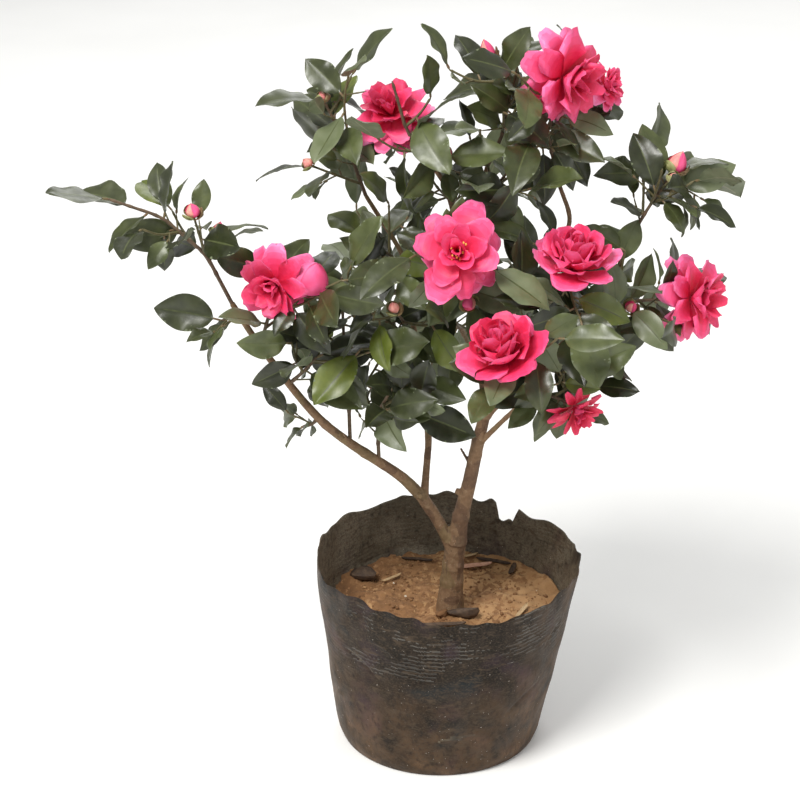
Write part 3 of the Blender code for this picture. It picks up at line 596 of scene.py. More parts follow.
def add_sheets(batch, middle, half, slots):
    """Thin solids round middle surfaces (count, rows + 1, columns + 1, 3); half is zero at the border."""
    normal = np.cross(np.gradient(middle, axis=2), np.gradient(middle, axis=1))
    normal /= np.linalg.norm(normal, axis=-1, keepdims=True) + 1e-12
    lift = normal * half[..., None]
    count, rows, columns = middle.shape[0], middle.shape[1] - 1, middle.shape[2] - 1
    upper = (middle + lift).reshape(count, -1, 3)
    lower = (middle - lift)[:, 1:-1, 1:-1].reshape(count, -1, 3)
    quads = sheet_quads(rows, columns)
    for corners, face_slots in zip(np.concatenate([upper, lower], axis=1), slots):
        batch.add(corners, quads, face_slots)


def tube_quads(rings, sides):
    """The side faces of a tube with an even number of sides, and quads that close its two ends."""
    grid = np.arange(rings * sides).reshape(rings, sides)
    ahead = np.roll(grid, -1, axis=1)
    wall = np.stack([grid[:-1], ahead[:-1], ahead[1:], grid[1:]], axis=-1).reshape(-1, 4)
    steps = np.arange(sides // 2 - 1)
    cap = np.stack([steps, steps + 1, sides - 2 - steps, sides - 1 - steps], axis=-1)
    return np.concatenate([wall, cap[:, ::-1], cap + (rings - 1) * sides])


def fine_path(tube, spacing):
    """The tube's path again with closer points, their shares of its length, and its radii there."""
    knots = max(3, int(tube.length / KNOT_SPACING))
    path = smooth_path([tube.at(share) for share in np.linspace(0, 1, knots)], spacing)
    steps = np.linalg.norm(np.diff(path, axis=0), axis=1)
    shares = np.concatenate([[0.0], np.cumsum(steps)]) / steps.sum()
    return path, shares, np.interp(shares, tube.shares, tube.radii)


def frames_of(blades):
    """Roots, directions and sizes of blades as arrays that spread over their grids."""
    def gathered(values):
        return np.array(list(values))[:, None, None]

    along = gathered(blade.along for blade in blades)
    face = gathered(blade.face for blade in blades)
    return (gathered(blade.root for blade in blades), along, np.cross(along, face), face,
            gathered(blade.length for blade in blades), gathered(blade.width for blade in blades))


# ---------------------------------------------------------------- leaves
LEAF_ACROSS = np.array([-1.0, -0.80, -0.54, -0.28, -0.055, 0.055, 0.28, 0.54, 0.80, 1.0])
PETIOLE = 0.12  # share of a leaf's length
PETIOLE_ROWS = 3
LEAF_ALONG = np.concatenate([np.linspace(0.0, PETIOLE, PETIOLE_ROWS + 1)[:-1],
                             np.linspace(PETIOLE, 1.0, 19)])
RIBLESS_ROWS = 3  # at a leaf's tip
STALK_HALF_WIDTH = 0.0009
TIP_HALF_WIDTH = 0.00012
BLADE_HALF = 0.00022  # half the thickness of a leaf, which its rib and its stalk add to
RIB_HALF = 0.00030
STALK_HALF = 0.00075
PLEAT_LIFT = 0.00022
LEAF_TONES = ("leaf_dark", "leaf_deep", "leaf_green", "leaf_sheen", "leaf_young")
TONE_SHARES = (0.27, 0.30, 0.26, 0.14, 0.03)
YOUNG_MASSES = ("centre_left", "inner_left")  # shoots of this year, with many yellow-green leaves
YOUNG_SHARE = 0.45
LEAF_SLOTS = (*LEAF_TONES, "leaf_rib", "leaf_back", "leaf_back_rib", "petiole")


def leaf_slots(tone):
    """The material slot of each face of a leaf of one tone: ribs along the middle, and its own back."""
    shape = (len(LEAF_ALONG) - 1, len(LEAF_ACROSS) - 1)
    sides = []
    for blade, rib in ((tone, "leaf_rib"), (LEAF_SLOTS.index("leaf_back"), "leaf_back_rib")):
        slots = np.full(shape, blade)
        slots[:-RIBLESS_ROWS, shape[1] // 2] = LEAF_SLOTS.index(rib)
        slots[:PETIOLE_ROWS] = LEAF_SLOTS.index("petiole")
        sides.append(slots.ravel())
    return np.concatenate(sides)


def add_leaves(batch, blades, tones, chance):
    """Elliptic leaves with a fine tip, a raised fold, wavy margins and pleats between their veins.

    s runs along a leaf from 0 to 1, and t across it from -1 to 1."""
    root, along, side, face, length, width = frames_of(blades)
    s = LEAF_ALONG[None, :, None]
    t = LEAF_ACROSS[None, None, :]
    reach = np.abs(t)

    def vary(low, high):
        return chance.uniform(low, high, len(blades))[:, None, None]

    u = np.clip((s - PETIOLE) / (1 - PETIOLE), 0.0, 1.0)
    outline = np.sin(np.pi * u ** vary(0.84, 1.04)) ** 0.66 * (1 - 0.42 * u ** 6)
    half_width = np.maximum(width / 2 * outline, np.where(s < 0.5, STALK_HALF_WIDTH, TIP_HALF_WIDTH))
    fold = vary(0.16, 0.52)
    arch = np.array([blade.arch for blade in blades])[:, None, None]
    wave = np.sin(2 * np.pi * (vary(1.6, 2.6) * s + vary(0, 1))) * reach ** 2 * np.sign(t)
    ripple = np.sin(2 * np.pi * (vary(2.2, 3.4) * s + vary(0, 1))) * reach ** 2
    pleat = np.sin(2 * np.pi * (8.0 * s - 1.1 * reach)) * np.sin(np.pi * reach) * smooth(s, 0.14, 0.3)
    lift = half_width * (fold * reach - 0.13 * reach ** 3) * smooth(s, PETIOLE, 0.25)
    lift = lift + 0.055 * width * (wave * 0.6 + ripple * 0.6) * smooth(s, 0.15, 0.4) + PLEAT_LIFT * pleat
    lift = lift - length * (arch * s ** 2 + vary(-0.04, 0.20) * smooth(s, 0.30, 1.20) * s)
    aside = t * half_width + length * vary(-0.09, 0.09) * s ** 2
    twist = vary(-0.35, 0.35) * s
    middle = (root + along * (s * length)[..., None] + side * (aside * np.cos(twist))[..., None]
              + face * (lift + aside * np.sin(twist))[..., None])
    stalk = 1 - smooth(s, 0.09, 0.17)
    rib = np.exp(-(t / 0.10) ** 2) * (1 - s)
    half = (1 - t ** 4) * (BLADE_HALF + RIB_HALF * rib) + stalk * STALK_HALF * np.sqrt(1 - t ** 2)
    half = half * np.minimum(1.0, s / 0.02) * np.minimum(1.0, (1 - s) / 0.02)
    by_tone = [leaf_slots(tone) for tone in range(len(LEAF_TONES))]
    add_sheets(batch, middle, np.broadcast_to(half, middle.shape[:3]), [by_tone[tone] for tone in tones])


# ---------------------------------------------------------------- finer twigs and their leaves
SPUR_LENGTH = (0.014, 0.026)
SPUR_RADII = (0.0009, 0.0006)
SPUR_LEAF_LENGTH = (0.028, 0.042)
SPUR_LEAVES = 2
SPUR_TRIES = 4
SPURS_ON_STEM = 2  # a side twig has one
KNOT_SPACING = 0.012
SKIN_SPACING = 0.003  # of the rings of a drawn twig or limb
NODE_PITCH = 0.014
NODE_SWELL = 0.30
NODE_LENGTH = 0.0016


def spur_try(tube, share, chance):
    """One way that a spur can leave its twig."""
    ahead = tube.along(share)
    spoke = turned(across(ahead, SPOKE_HINT), ahead, chance.uniform(0, 2 * math.pi))
    end = tube.at(share) + unit(ahead * 0.6 + spoke + UP * 0.25) * chance.uniform(*SPUR_LENGTH)
    return Tube([tube.at(share), end], SPUR_RADII, TWIG_SPACING)


def grow_spurs(growths, obstacles):
    """Short spurs with small leaves on the stems and side twigs, where there is room for them."""
    spurs = []
    blades = []
    for growth in growths:
        others = [other for other in obstacles if other.owner != growth.name]
        own = [other for other in obstacles if other.owner == growth.name]
        places = [(number, place) for number in range(len(growth.twigs))
                  for place in range(1 if number else SPURS_ON_STEM)]
        for number, place in places:
            chance = random.Random(f"spur {growth.name} {number} {place}")
            share = chance.uniform(0.18, 0.55) + 0.25 * place
            for attempt in range(SPUR_TRIES):
                spur = spur_try(growth.twigs[number][0], share, chance)
                kept = []
                for index in range(SPUR_LEAVES):
                    leaf = leaf_try(spur, 0.97 - 0.35 * index, 2.4 * index + attempt, chance, 0)
                    length = chance.uniform(*SPUR_LEAF_LENGTH)
                    leaf = leaf._replace(length=length, width=length * chance.uniform(0.46, 0.55))
                    if growth.has_room(leaf, own, others):
                        kept.append(leaf)
                        own.append(Obstacle(growth.name, blade_shell(leaf, 0.0, 0.22)))
                        obstacles.append(Obstacle(growth.name, blade_shell(leaf)))
                if kept:
                    spurs.append(spur)
                    blades += kept
                    break
    return spurs, blades


def add_twig(batch, tube, sides, nodes, slot):
    """A fine twig that swells a little at each of its nodes."""
    path, shares, radii = fine_path(tube, SKIN_SPACING)
    for node in nodes:
        radii = radii * (1 + NODE_SWELL * np.exp(-((shares - node) * tube.length / NODE_LENGTH) ** 2))
    radii[-1] *= 0.45
    batch.add(tube_shell(path, radii, sides)[0], tube_quads(len(path), sides), slot)


# ---------------------------------------------------------------- blooms
PETAL_ACROSS = np.linspace(-1.0, 1.0, 10)
PETAL_ALONG = np.linspace(0.0, 1.0, 14)
PETAL_HALF = 0.00028
VEIN_LIFT = 0.00012
# A ring of petals: their count and how far they open in degrees; their length and width, and how far up
# the axis they start, as shares of the bloom's radius; how far they curl inwards and how hollow they
# are, in radians; and how pale they are.
Ring = namedtuple("Ring", "count opening length width rise curl cup tone")
FULL_BLOOMS = {
    "open": (
        Ring(7, 84, 1.04, 0.62, 0.00, -0.55, 0.40, 3.0),
        Ring(6, 62, 0.90, 0.52, 0.04, -0.25, 0.55, 2.2),
        Ring(5, 38, 0.68, 0.38, 0.08, 0.10, 0.80, 1.2),
        Ring(8, 18, 0.54, 0.22, 0.10, 0.10, 1.00, 0.6),
    ),
    "rose": (
        Ring(6, 82, 0.98, 0.84, 0.02, 0.40, 0.40, 3.0),
        Ring(7, 74, 0.92, 0.74, 0.05, 1.00, 0.70, 1.6),
        Ring(8, 60, 0.88, 0.62, 0.08, 1.15, 0.80, 1.1),
        Ring(8, 43, 0.84, 0.54, 0.12, 1.10, 0.90, 0.8),
        Ring(7, 26, 0.80, 0.46, 0.15, 0.90, 1.00, 0.5),
        Ring(5, 12, 0.74, 0.38, 0.17, 0.70, 1.10, 0.3),
    ),
    "ragged": (
        Ring(8, 88, 1.07, 0.64, 0.00, -0.45, 0.40, 3.4),
        Ring(7, 68, 1.00, 0.58, 0.04, -0.10, 0.55, 1.8),
        Ring(6, 46, 0.90, 0.54, 0.07, 0.20, 0.75, 0.7),
        Ring(6, 24, 0.78, 0.42, 0.10, 0.25, 0.95, 0.2),
    ),
    "strap": (
        Ring(10, 70, 1.00, 0.30, 0.00, -0.25, 0.60, 1.0),
        Ring(8, 44, 0.92, 0.32, 0.05, -0.10, 0.70, 0.5),
        Ring(6, 20, 0.70, 0.34, 0.08, 0.10, 0.90, 0.0),
    ),
}
RUFFLE = {"open": 0.060, "rose": 0.036, "ragged": 0.085, "strap": 0.050}
UNEVENNESS = {"open": 2.3, "rose": 0.9, "ragged": 1.6, "strap": 1.2}  # of lengths, turns and tilts
DEEPER_BLOOMS = {"low_right": 1.6, "hanging_right": 1.8}
PETAL_TONES = tuple(f"petal_{step}" for step in range(10))  # from the root's crimson to the palest margin
BLOSSOM_SLOTS = (*PETAL_TONES, "petal_back", "petal_pale", "sepal_green", "sepal_brown", "stamen", "anther")
BACK_ROOT_TONE = 3  # of the lower faces near a petal's root
SEPALS = 5
STAMENS = 22
STAMEN_RADII = (0.0004, 0.0003)
ANTHER_SIZES = (0.0008, 0.0008, 0.0012)
WRAP_HALF = 0.00025
WRAP_STEP = 0.0003  # between one wrap of a bud and the next
BALL_RADIUS = 0.012  # a bud above this is a ball of petals, about to open
SHOWING_RADIUS = 0.0058  # a bud above this shows its petals out of its cup
COLOURED_RADIUS = 0.0062  # a bud above this has coloured petals
BALL_PETALS = ("petal_6", "petal_8", "petal_7")
BUD_PETALS = ("petal_7", "petal_5", "petal_pale")
BALL_WRAPS = 9
BUD_WRAPS = 5


def petal_slots(tone, streaks):
    """Petals are crimson at their root and paler towards the tip and margins, in streaks."""
    along = (PETAL_ALONG[:-1, None] + PETAL_ALONG[1:, None]) / 2
    aside = (PETAL_ACROSS[None, :-1] + PETAL_ACROSS[None, 1:]) / 2
    level = tone + 5.6 * along ** 1.4 + 1.2 * aside ** 2 * along + streaks[None, :]
    upper = np.clip(level, 0, len(PETAL_TONES) - 1).astype(int)
    lower = np.where(along > 0.25, BLOSSOM_SLOTS.index("petal_back"), BACK_ROOT_TONE) * np.ones_like(upper)
    return np.concatenate([upper.ravel(), lower.ravel()])


def add_petals(batch, blades, ring, ruffle, tone, chance):
    """Broad petals with a round, slightly notched tip that bends back, and softly ruffled margins.

    s runs along a petal from 0 to 1, and t across it from -1 to 1."""
    root, along, side, face, length, width = frames_of(blades)
    s = PETAL_ALONG[None, :, None]
    t = PETAL_ACROSS[None, None, :]

    def vary(low, high):
        return chance.uniform(low, high, len(blades))[:, None, None]

    outline = 0.14 + 0.86 * smooth(s, -0.05, 0.72) - 0.08 * smooth(s, 0.80, 1.05)
    notch = vary(0.0, 0.07) * np.exp(-(t / 0.16) ** 2) * smooth(s, 0.72, 1.0)
    reach = s - 0.42 * s ** 3 * np.abs(t) ** 3.0 - notch
    curl = ring.curl + vary(-0.22, 0.22) + 0.001
    run = length * np.sin(curl * reach) / curl
    lift = length * (1 - np.cos(curl * reach)) / curl
    cup = ring.cup * vary(0.75, 1.25)
    aside = width / 2 * outline * np.sin(cup * t) / cup + length * vary(-0.05, 0.05) * s ** 2
    rise = width / 2 * outline * (1 - np.cos(cup * t)) / cup * (1 - vary(0.2, 0.8) * smooth(s, 0.6, 1.0))
    margin = smooth(s, 0.30, 1.0) * t ** 2 + 0.5 * smooth(s, 0.80, 1.0)
    waves = (np.sin(2 * np.pi * (vary(0.35, 0.75) * t + vary(0, 1)))
             + 0.8 * np.sin(2 * np.pi * (vary(1.4, 2.6) * s * np.sign(t) + vary(0, 1)))
             + 0.5 * np.sin(2 * np.pi * (vary(1.3, 2.0) * t + vary(0, 1)) - 2.0 * s))
    veins = VEIN_LIFT * np.sin(2 * np.pi * 4.5 * t) * smooth(s, 0.1, 0.5)
    rise = rise + ruffle * width * waves * margin + veins - length * vary(0.0, 0.16) * smooth(s, 0.65, 1.1)
    twist = vary(-0.22, 0.22) * s
    cosine, sine = np.cos(curl * reach)[..., None], np.sin(curl * reach)[..., None]
    middle = (root + along * run[..., None] + face * lift[..., None]
              + side * (aside * np.cos(twist) - rise * np.sin(twist))[..., None]
              + (face * cosine - along * sine) * (rise * np.cos(twist) + aside * np.sin(twist))[..., None])
    to_margin = np.minimum(1.0, (1 - np.abs(t)) / 0.10)
    half = PETAL_HALF * to_margin * np.minimum(1.0, np.minimum(s, 1 - s) / 0.07)
    slots = [petal_slots(tone + chance.uniform(-0.6, 0.9), chance.uniform(-0.2, 0.2, len(PETAL_ACROSS) - 1))
             for _ in blades]
    add_sheets(batch, middle, np.broadcast_to(half, middle.shape[:3]), slots)


def ring_blades(root, bloom, number, ring, chance):
    """Where the petals of one ring of a bloom start, which way they go and how large they are."""
    axis = unit(bloom.axis)
    first = across(axis, PETAL_HINT)
    uneven = UNEVENNESS[bloom.form]
    blades = []
    for step in range(ring.count):
        wobble = math.sin(2.4 * step + 1.7 * number + 0.4)
        share = (step + 0.5 * number + 0.12 * wobble + uneven * chance.uniform(-0.10, 0.10)) / ring.count
        spoke = turned(first, axis, 2 * math.pi * share)
        tilt = math.radians(ring.opening + uneven * chance.uniform(-8, 8))
        along = axis * math.cos(tilt) + spoke * math.sin(tilt)
        face = axis * math.sin(tilt) - spoke * math.cos(tilt)
        length = bloom.radius * ring.length * (1 - 0.12 * uneven * chance.random() + 0.04)
        width = bloom.radius * ring.width * (1 + 0.10 * uneven * chance.uniform(-1, 1))
        start = root + axis * bloom.radius * ring.rise + spoke * 0.0006
        blades.append(Blade(start, along, face, length, width, 0.0, 0.0, 0.0, None))
    return blades


def add_bloom(batch, root, bloom, name):
    """The rings of petals of one bloom, its stamens and its sepals."""
    chance = np.random.default_rng(int(bloom.radius * 1e5) + len(name) * 7 + ord(name[0]))
    axis = unit(bloom.axis)
    for number, ring in enumerate(FULL_BLOOMS[bloom.form]):
        blades = ring_blades(root, bloom, number, ring, chance)
        tone = ring.tone - DEEPER_BLOOMS.get(name, 0.0)
        add_petals(batch, blades, ring, RUFFLE[bloom.form], tone, chance)
    if bloom.form == "open":
        add_stamens(batch, root, axis, bloom.radius, chance)
    sepals = [(2 * math.pi * step / SEPALS, 0.75, 0.0, 0.95, 0.0004, "sepal_green")
              for step in range(SEPALS)]
    base = root - axis * bloom.radius * 0.18
    add_wraps(batch, base, axis, bloom.radius * 0.19, bloom.radius * 0.16, sepals)


def add_stamens(batch, root, axis, radius, chance):
    """Fine stamens with yellow tips among the innermost petals."""
    first = across(axis, RING_HINT)
    for step in range(STAMENS):
        spoke = turned(first, axis, GOLDEN_TURN * step)
        along = unit(axis + spoke * chance.uniform(0.1, 0.6))
        end = root + along * radius * chance.uniform(0.34, 0.46)
        stamen = Tube([root, end], STAMEN_RADII, TWIG_SPACING)
        add_twig(batch, stamen, 4, [], BLOSSOM_SLOTS.index("stamen"))
        add_lump(batch, end, ANTHER_SIZES, step * 0.7, BLOSSOM_SLOTS.index("anther"), 0.15)


def add_wraps(batch, root, axis, length, radius, wraps):
    """Sepals or petals that hug an egg-shaped bud. Each has a turn, a half angle in radians, its low and
    high shares of the bud's length, how far it stands off, and its slot."""
    first = across(axis, RING_HINT)
    second = np.cross(axis, first)
    aside = np.linspace(-1.0, 1.0, 8)[None, :]
    share = np.linspace(0.0, 1.0, 10)[:, None]
    half = (WRAP_HALF * np.minimum(1, (1 - np.abs(aside)) / 0.2)
            * np.minimum(1, np.minimum(share, 1 - share) / 0.1))
    for turn, half_angle, low, high, stand_off, slot in wraps:
        s = low + (high - low) * share
        girth = radius * np.sin(np.pi * np.clip(s, 0.02, 0.99) ** 0.72) ** 0.70
        angle = turn + half_angle * np.maximum(0.04, np.sqrt(np.clip(1 - share ** 3.2, 0, 1))) * aside
        out = girth + stand_off + 0.0006 * share ** 3
        middle = (root + axis * (length * s * np.ones_like(angle))[..., None]
                  + (first * np.cos(angle)[..., None] + second * np.sin(angle)[..., None]) * out[..., None])
        slots = np.full(2 * (share.size - 1) * (aside.size - 1), BLOSSOM_SLOTS.index(slot))
        add_sheets(batch, middle[None], half[None], [slots])


def add_bud(batch, root, axis, bud):
    """A bud: petals wound round each other, in a cup of scales that covers a small bud whole."""
    ball = bud.radius > BALL_RADIUS
    petals = BALL_PETALS if ball else BUD_PETALS if bud.radius > COLOURED_RADIUS else ("petal_pale",)
    scales, cup = (5, 0.30) if ball else (8, 0.62 if bud.radius > SHOWING_RADIUS else 0.97)
    wraps = []
    for step in range(BALL_WRAPS if ball else BUD_WRAPS):
        slot = petals[step % len(petals)]
        wraps.append((GOLDEN_TURN * step, 1.25, 0.03, 1.0, WRAP_STEP * (step - BALL_WRAPS), slot))
    for step in range(scales):
        slot = "sepal_green" if step % 3 else "sepal_brown"
        stand_off = WRAP_STEP * (scales - step) * 0.6 + 0.0002
        wraps.append((2.2 * step + 0.5, 0.80, 0.0, cup - 0.05 * (scales - step) + 0.05, stand_off, slot))
    add_wraps(batch, root, axis, bud.length, bud.radius, wraps)


# ---------------------------------------------------------------- bark
BARK_VOXEL = 0.0009
BARK_SLOTS = ("bark_brown", "bark_dark", "bark_pale", "bark_red", "bark_olive")
REDDER_LIMBS = ("right_stem", "crown_stem")
LIMB_SKIN_SIDES = 14
STUB_SIDES = 12
FOOT_DEPTH = 0.004  # how far the trunk goes on into the soil
COLLAR_SWELL = 0.42
COLLAR_LENGTH = 0.011
KNUCKLE_PITCH = 0.030
KNUCKLE_LENGTH = 0.0032
GRAIN_SPACING = 0.002  # of the samples along a limb that its grain follows
# Stubs and dry spurs: the limb, the share of its length, azimuth and rise in degrees, length and radii.
STUBS = (
    ("right_stem", 0.36, 172, 20, 0.0036, 0.0042, 0.0026),
    ("right_stem", 0.56, 160, 58, 0.0150, 0.0017, 0.0011),
    ("trunk", 0.62, -60, 25, 0.0022, 0.0040, 0.0024),
    ("left_stem", 0.22, -80, 10, 0.0075, 0.0032, 0.0022),
    ("left_stem", 0.47, -120, 50, 0.0150, 0.0014, 0.0008),
    ("crown_stem", 0.33, -40, 20, 0.0090, 0.0024, 0.0014),
)


def limb_skins(limbs):
    """Closed tubes of all limbs with swollen collars at their roots, knuckles, stubs and spurs."""
    skins = []
    for name, tube in limbs.items():
        path, shares, radii = fine_path(tube, SKIN_SPACING)
        run = shares * tube.length
        if name == "trunk":
            path[0][2] -= FOOT_DEPTH
        else:
            radii = radii * (1 + COLLAR_SWELL * np.exp(-run / COLLAR_LENGTH))
        waver = random.Random(f"knuckles {name}")
        for _ in range(int(tube.length / KNUCKLE_PITCH)):
            swell = waver.uniform(0.04, 0.13)
            place = waver.uniform(0, tube.length)
            radii = radii * (1 + swell * np.exp(-((run - place) / KNUCKLE_LENGTH) ** 2))
        skins.append(tube_shell(path, radii, LIMB_SKIN_SIDES))
    for name, share, azimuth, rise, length, root_radius, tip_radius in STUBS:
        limb = limbs[name]
        path = follow(limb.at(share), [(azimuth, rise, length + limb.radius(share))])
        stub = Tube(path, (root_radius, tip_radius), SKIN_SPACING)
        skins.append(tube_shell(stub.path, stub.radii, STUB_SIDES))
    return skins


def joined_skin(shells, voxel):
    """One smooth skin round closed shells that run into each other, as a mesh."""
    mesh = bpy.data.meshes.new("skin")
    corners = []
    faces = []
    for shell_corners, shell_faces in shells:
        faces += [tuple(len(corners) + index for index in face) for face in shell_faces]
        corners += [tuple(map(float, corner)) for corner in shell_corners]
    mesh.from_pydata(corners, [], faces)
    piece = placed("skin", mesh)
    remesh = piece.modifiers.new("remesh", "REMESH")
    remesh.mode = "VOXEL"
    remesh.voxel_size = voxel
    even = piece.modifiers.new("even", "SMOOTH")
    even.factor = 0.5
    even.iterations = 3
    result = bpy.data.meshes.new_from_object(piece.evaluated_get(bpy.context.evaluated_depsgraph_get()))
    bpy.data.objects.remove(piece)
    return result


def limb_samples(limbs):
    """Samples along every limb: their points, limb names, spokes, second spokes, lengths and radii."""
    samples = []
    for name, tube in limbs.items():
        path, shares, radii = fine_path(tube, GRAIN_SPACING)
        spoke = across(unit(path[1] - path[0]), RING_HINT)
        for index, (centre, share, radius) in enumerate(zip(path, shares, radii)):
            ahead = unit(path[min(index + 1, len(path) - 1)] - path[max(index - 1, 0)])
            spoke = across(ahead, spoke)
            samples.append((centre, name, spoke, np.cross(ahead, spoke), share * tube.length, radius))
    return samples


def bark_slot(shade, red):
    """Dark furrows and pale ridges; the rest is olive, brown or red bark."""
    if shade < -0.66:
        return "bark_dark"
    if shade > 0.05 and red <= 0.24:
        return "bark_pale"
    return "bark_olive" if red < -0.26 else "bark_red" if red > 0.24 else "bark_brown"


def make_bark(limbs, materials):
    """The skin of all limbs with furrows along the grain, cross scars and pores in its mesh."""
    mesh = joined_skin(limb_skins(limbs), BARK_VOXEL)
    samples = limb_samples(limbs)
    tree = KDTree(len(samples))
    for index, sample in enumerate(samples):
        tree.insert(Vector(sample[0]), index)
    tree.balance()
    tone = np.zeros(len(mesh.vertices))
    redness = np.zeros(len(mesh.vertices))
    for vertex, normal in zip(mesh.vertices, [vertex.normal.copy() for vertex in mesh.vertices]):
        centre, name, spoke, second, run, radius = samples[tree.find(vertex.co)[1]]
        offset = np.array(vertex.co) - centre
        a, b = offset.dot(spoke), offset.dot(second)
        reach = math.hypot(a, b) + 1e-9
        girth = radius * 190
        grain = noise_at(a / reach * girth, b / reach * girth, run * 70)
        fine = noise_at(a / reach * girth * 2.6, b / reach * girth * 2.6, run * 210 + 9)
        scar = noise_at(a / reach * 0.7, b / reach * 0.7, run * 330 + 40)
        pore = noise.noise(vertex.co * 1400)
        furrow = -abs(grain) ** 0.7
        relief = 0.00034 * furrow + 0.00016 * fine + 0.00022 * max(0.0, scar - 0.15)
        lift = min(1.0, radius / 0.008) * relief + 0.00007 * pore
        vertex.co += normal * (lift + 0.00016)
        tone[vertex.index] = furrow + 0.45 * fine + 0.8 * max(0.0, scar - 0.2) + 0.3 * pore
        redness[vertex.index] = 0.36 * (name in REDDER_LIMBS) - 0.05 + noise.noise(vertex.co * 45)
    for polygon in mesh.polygons:
        corners = list(polygon.vertices)
        slot = bark_slot(tone[corners].mean(), redness[corners].mean())
        polygon.material_index = BARK_SLOTS.index(slot)
    for slot in BARK_SLOTS:
        mesh.materials.append(materials[slot])
    mesh.shade_smooth()
    mesh.name = "limb_bark"
    piece = placed("limb_bark", mesh)
    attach(piece, "root")
    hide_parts(*LIMBS)


# ---------------------------------------------------------------- the grow bag
BAG_COLUMNS = 300
BAG_ANGLES = np.arange(BAG_COLUMNS) * 2 * math.pi / BAG_COLUMNS
WALL = 0.0013
INNER_DEPTH = 0.052  # how far down the inside of the bag is drawn below its rim
HIDDEN_HEIGHT = 0.112  # of the film's inner end, which the soil covers
RIDGE_PITCH = 0.0040
FILM_SLOTS = ("film", "film_glint", "film_pale", "film_inside")
# Rings under the bag: the share of the underside's radius, and height.
UNDERSIDE_RINGS = ((0.25, 0.0006), (0.55, 0.0006), (0.93, 0.0), (0.99, 0.0), (1.006, 0.0011))
# Rings up its outside, as shares of the rim's height.
OUTSIDE_SHARES = (0.022, 0.036, 0.052, 0.070, *np.linspace(0.09, 0.48, 30), *np.linspace(0.49, 0.992, 84))
# Creases in the film: angle in degrees and height at each end, depth, half width.
CREASES = (
    (-146, 0.118, -124, 0.098, -0.0014, 0.0020),
    (-128, 0.140, -112, 0.126, 0.0010, 0.0018),
    (-60, 0.060, -36, 0.083, -0.0012, 0.0024),
    (-98, 0.036, -72, 0.044, 0.0011, 0.0022),
    (-40, 0.118, -22, 0.132, -0.0010, 0.0020),
    (-166, 0.040, -150, 0.062, 0.0012, 0.0024),
    (20, 0.050, 44, 0.088, -0.0014, 0.0026),
    (96, 0.105, 118, 0.080, 0.0013, 0.0024),
    (146, 0.045, 170, 0.062, -0.0013, 0.0024),
)
PALE_CREASES = (0, 3)


def rim_height(angle):
    """The rim's uneven height: higher at the back left, lower at the right, torn at the notch."""
    height = RIM_HEIGHT + 0.005 * math.cos(angle - math.radians(140)) + 0.0015 * math.sin(5 * angle)
    height += 0.0014 * math.sin(13 * angle + 1.0) + 0.0010 * math.sin(29 * angle + 2 * math.sin(4 * angle))
    away = math.degrees(abs((angle - NOTCH_ANGLE + math.pi) % (2 * math.pi) - math.pi))
    torn = 0.015 * smooth(6.0 - away, 0.0, 2.6) * (0.92 + 0.08 * math.sin(angle * 60))
    flap = 0.0035 * math.exp(-((math.degrees(angle) - 68.5) / 2.4) ** 2)
    return height - torn + flap


def bag_point(angle, height, inset):
    """A point on the slanting, slightly buckled side of the bag."""
    share = height / RIM_HEIGHT
    buckle = share * (0.0016 * math.sin(4 * angle + 0.5) + 0.0010 * math.sin(7 * angle + 2.0))
    swell = BULGE * math.sin(math.pi * min(1.0, share))
    radius = BASE_RADIUS + (RIM_RADIUS - BASE_RADIUS) * share + buckle + swell - inset
    middle = BASE_SHIFT + (RIM_SHIFT - BASE_SHIFT) * share
    return (middle + radius * math.cos(angle), radius * math.sin(angle), height)


def crease_fade(crease, angle, height):
    """How strongly a crease shows at a place, from 0 to 1."""
    start_angle, start_height, end_angle, end_height, _, half_width = crease
    turn = (angle - math.radians(start_angle) + math.pi) % (2 * math.pi) - math.pi
    share = turn / math.radians(end_angle - start_angle)
    if not 0 < share < 1:
        return 0.0
    bow = 0.004 * math.sin(math.pi * share)
    away = height - (start_height + (end_height - start_height) * share + bow)
    return (1 - (2 * share - 1) ** 2) * math.exp(-(away / half_width) ** 2)


def stretch_ridge(angle, height):
    """The fine level ridges of the stretched film, in loose bands under the rim."""
    x, y = math.cos(angle), math.sin(angle)
    patch = 0.50 + 0.9 * noise_at(x * 2.6, y * 2.6, height * 40 + 11)
    wander = 0.0020 * noise_at(x * 3.4, y * 3.4, height * 12 + 3)
    ridge = math.sin(2 * math.pi * (height + wander) / RIDGE_PITCH)
    return smooth(height / RIM_HEIGHT, 0.50, 0.72) * max(0.06, patch) * (ridge + 0.4 * ridge * abs(ridge))


def film_lift(angle, height):
    """How far the film stands out at a place: sagging dents, stretch ridges and creases."""
    x, y = math.cos(angle), math.sin(angle)
    lift = 0.0020 * noise_at(x * 1.6, y * 1.6, height * 16)
    lift += 0.0008 * noise_at(x * 4.5, y * 4.5, height * 34 + 5)
    lift += 0.00024 * stretch_ridge(angle, height)
    lift += 0.00014 * noise_at(x * 60, y * 60, height * 520)
    loose = smooth(height / RIM_HEIGHT, 0.84, 1.0)
    lift += 0.0010 * loose * math.sin(19 * angle + 3 * math.sin(3 * angle))
    return lift + sum(crease[4] * crease_fade(crease, angle, height) for crease in CREASES)


def film_slot(angle, height):
    """Glinting ridge crests and pale creases; the rest is plain film."""
    broken = noise_at(math.cos(angle) * 9, math.sin(angle) * 9, height * 260)
    if stretch_ridge(angle, height) > 0.62 - 0.5 * broken and height < RIM_HEIGHT * 0.985:
        return FILM_SLOTS.index("film_glint")
    if any(crease_fade(CREASES[index], angle, height) > 0.55 - 0.5 * broken for index in PALE_CREASES):
        return FILM_SLOTS.index("film_pale")
    return FILM_SLOTS.index("film")


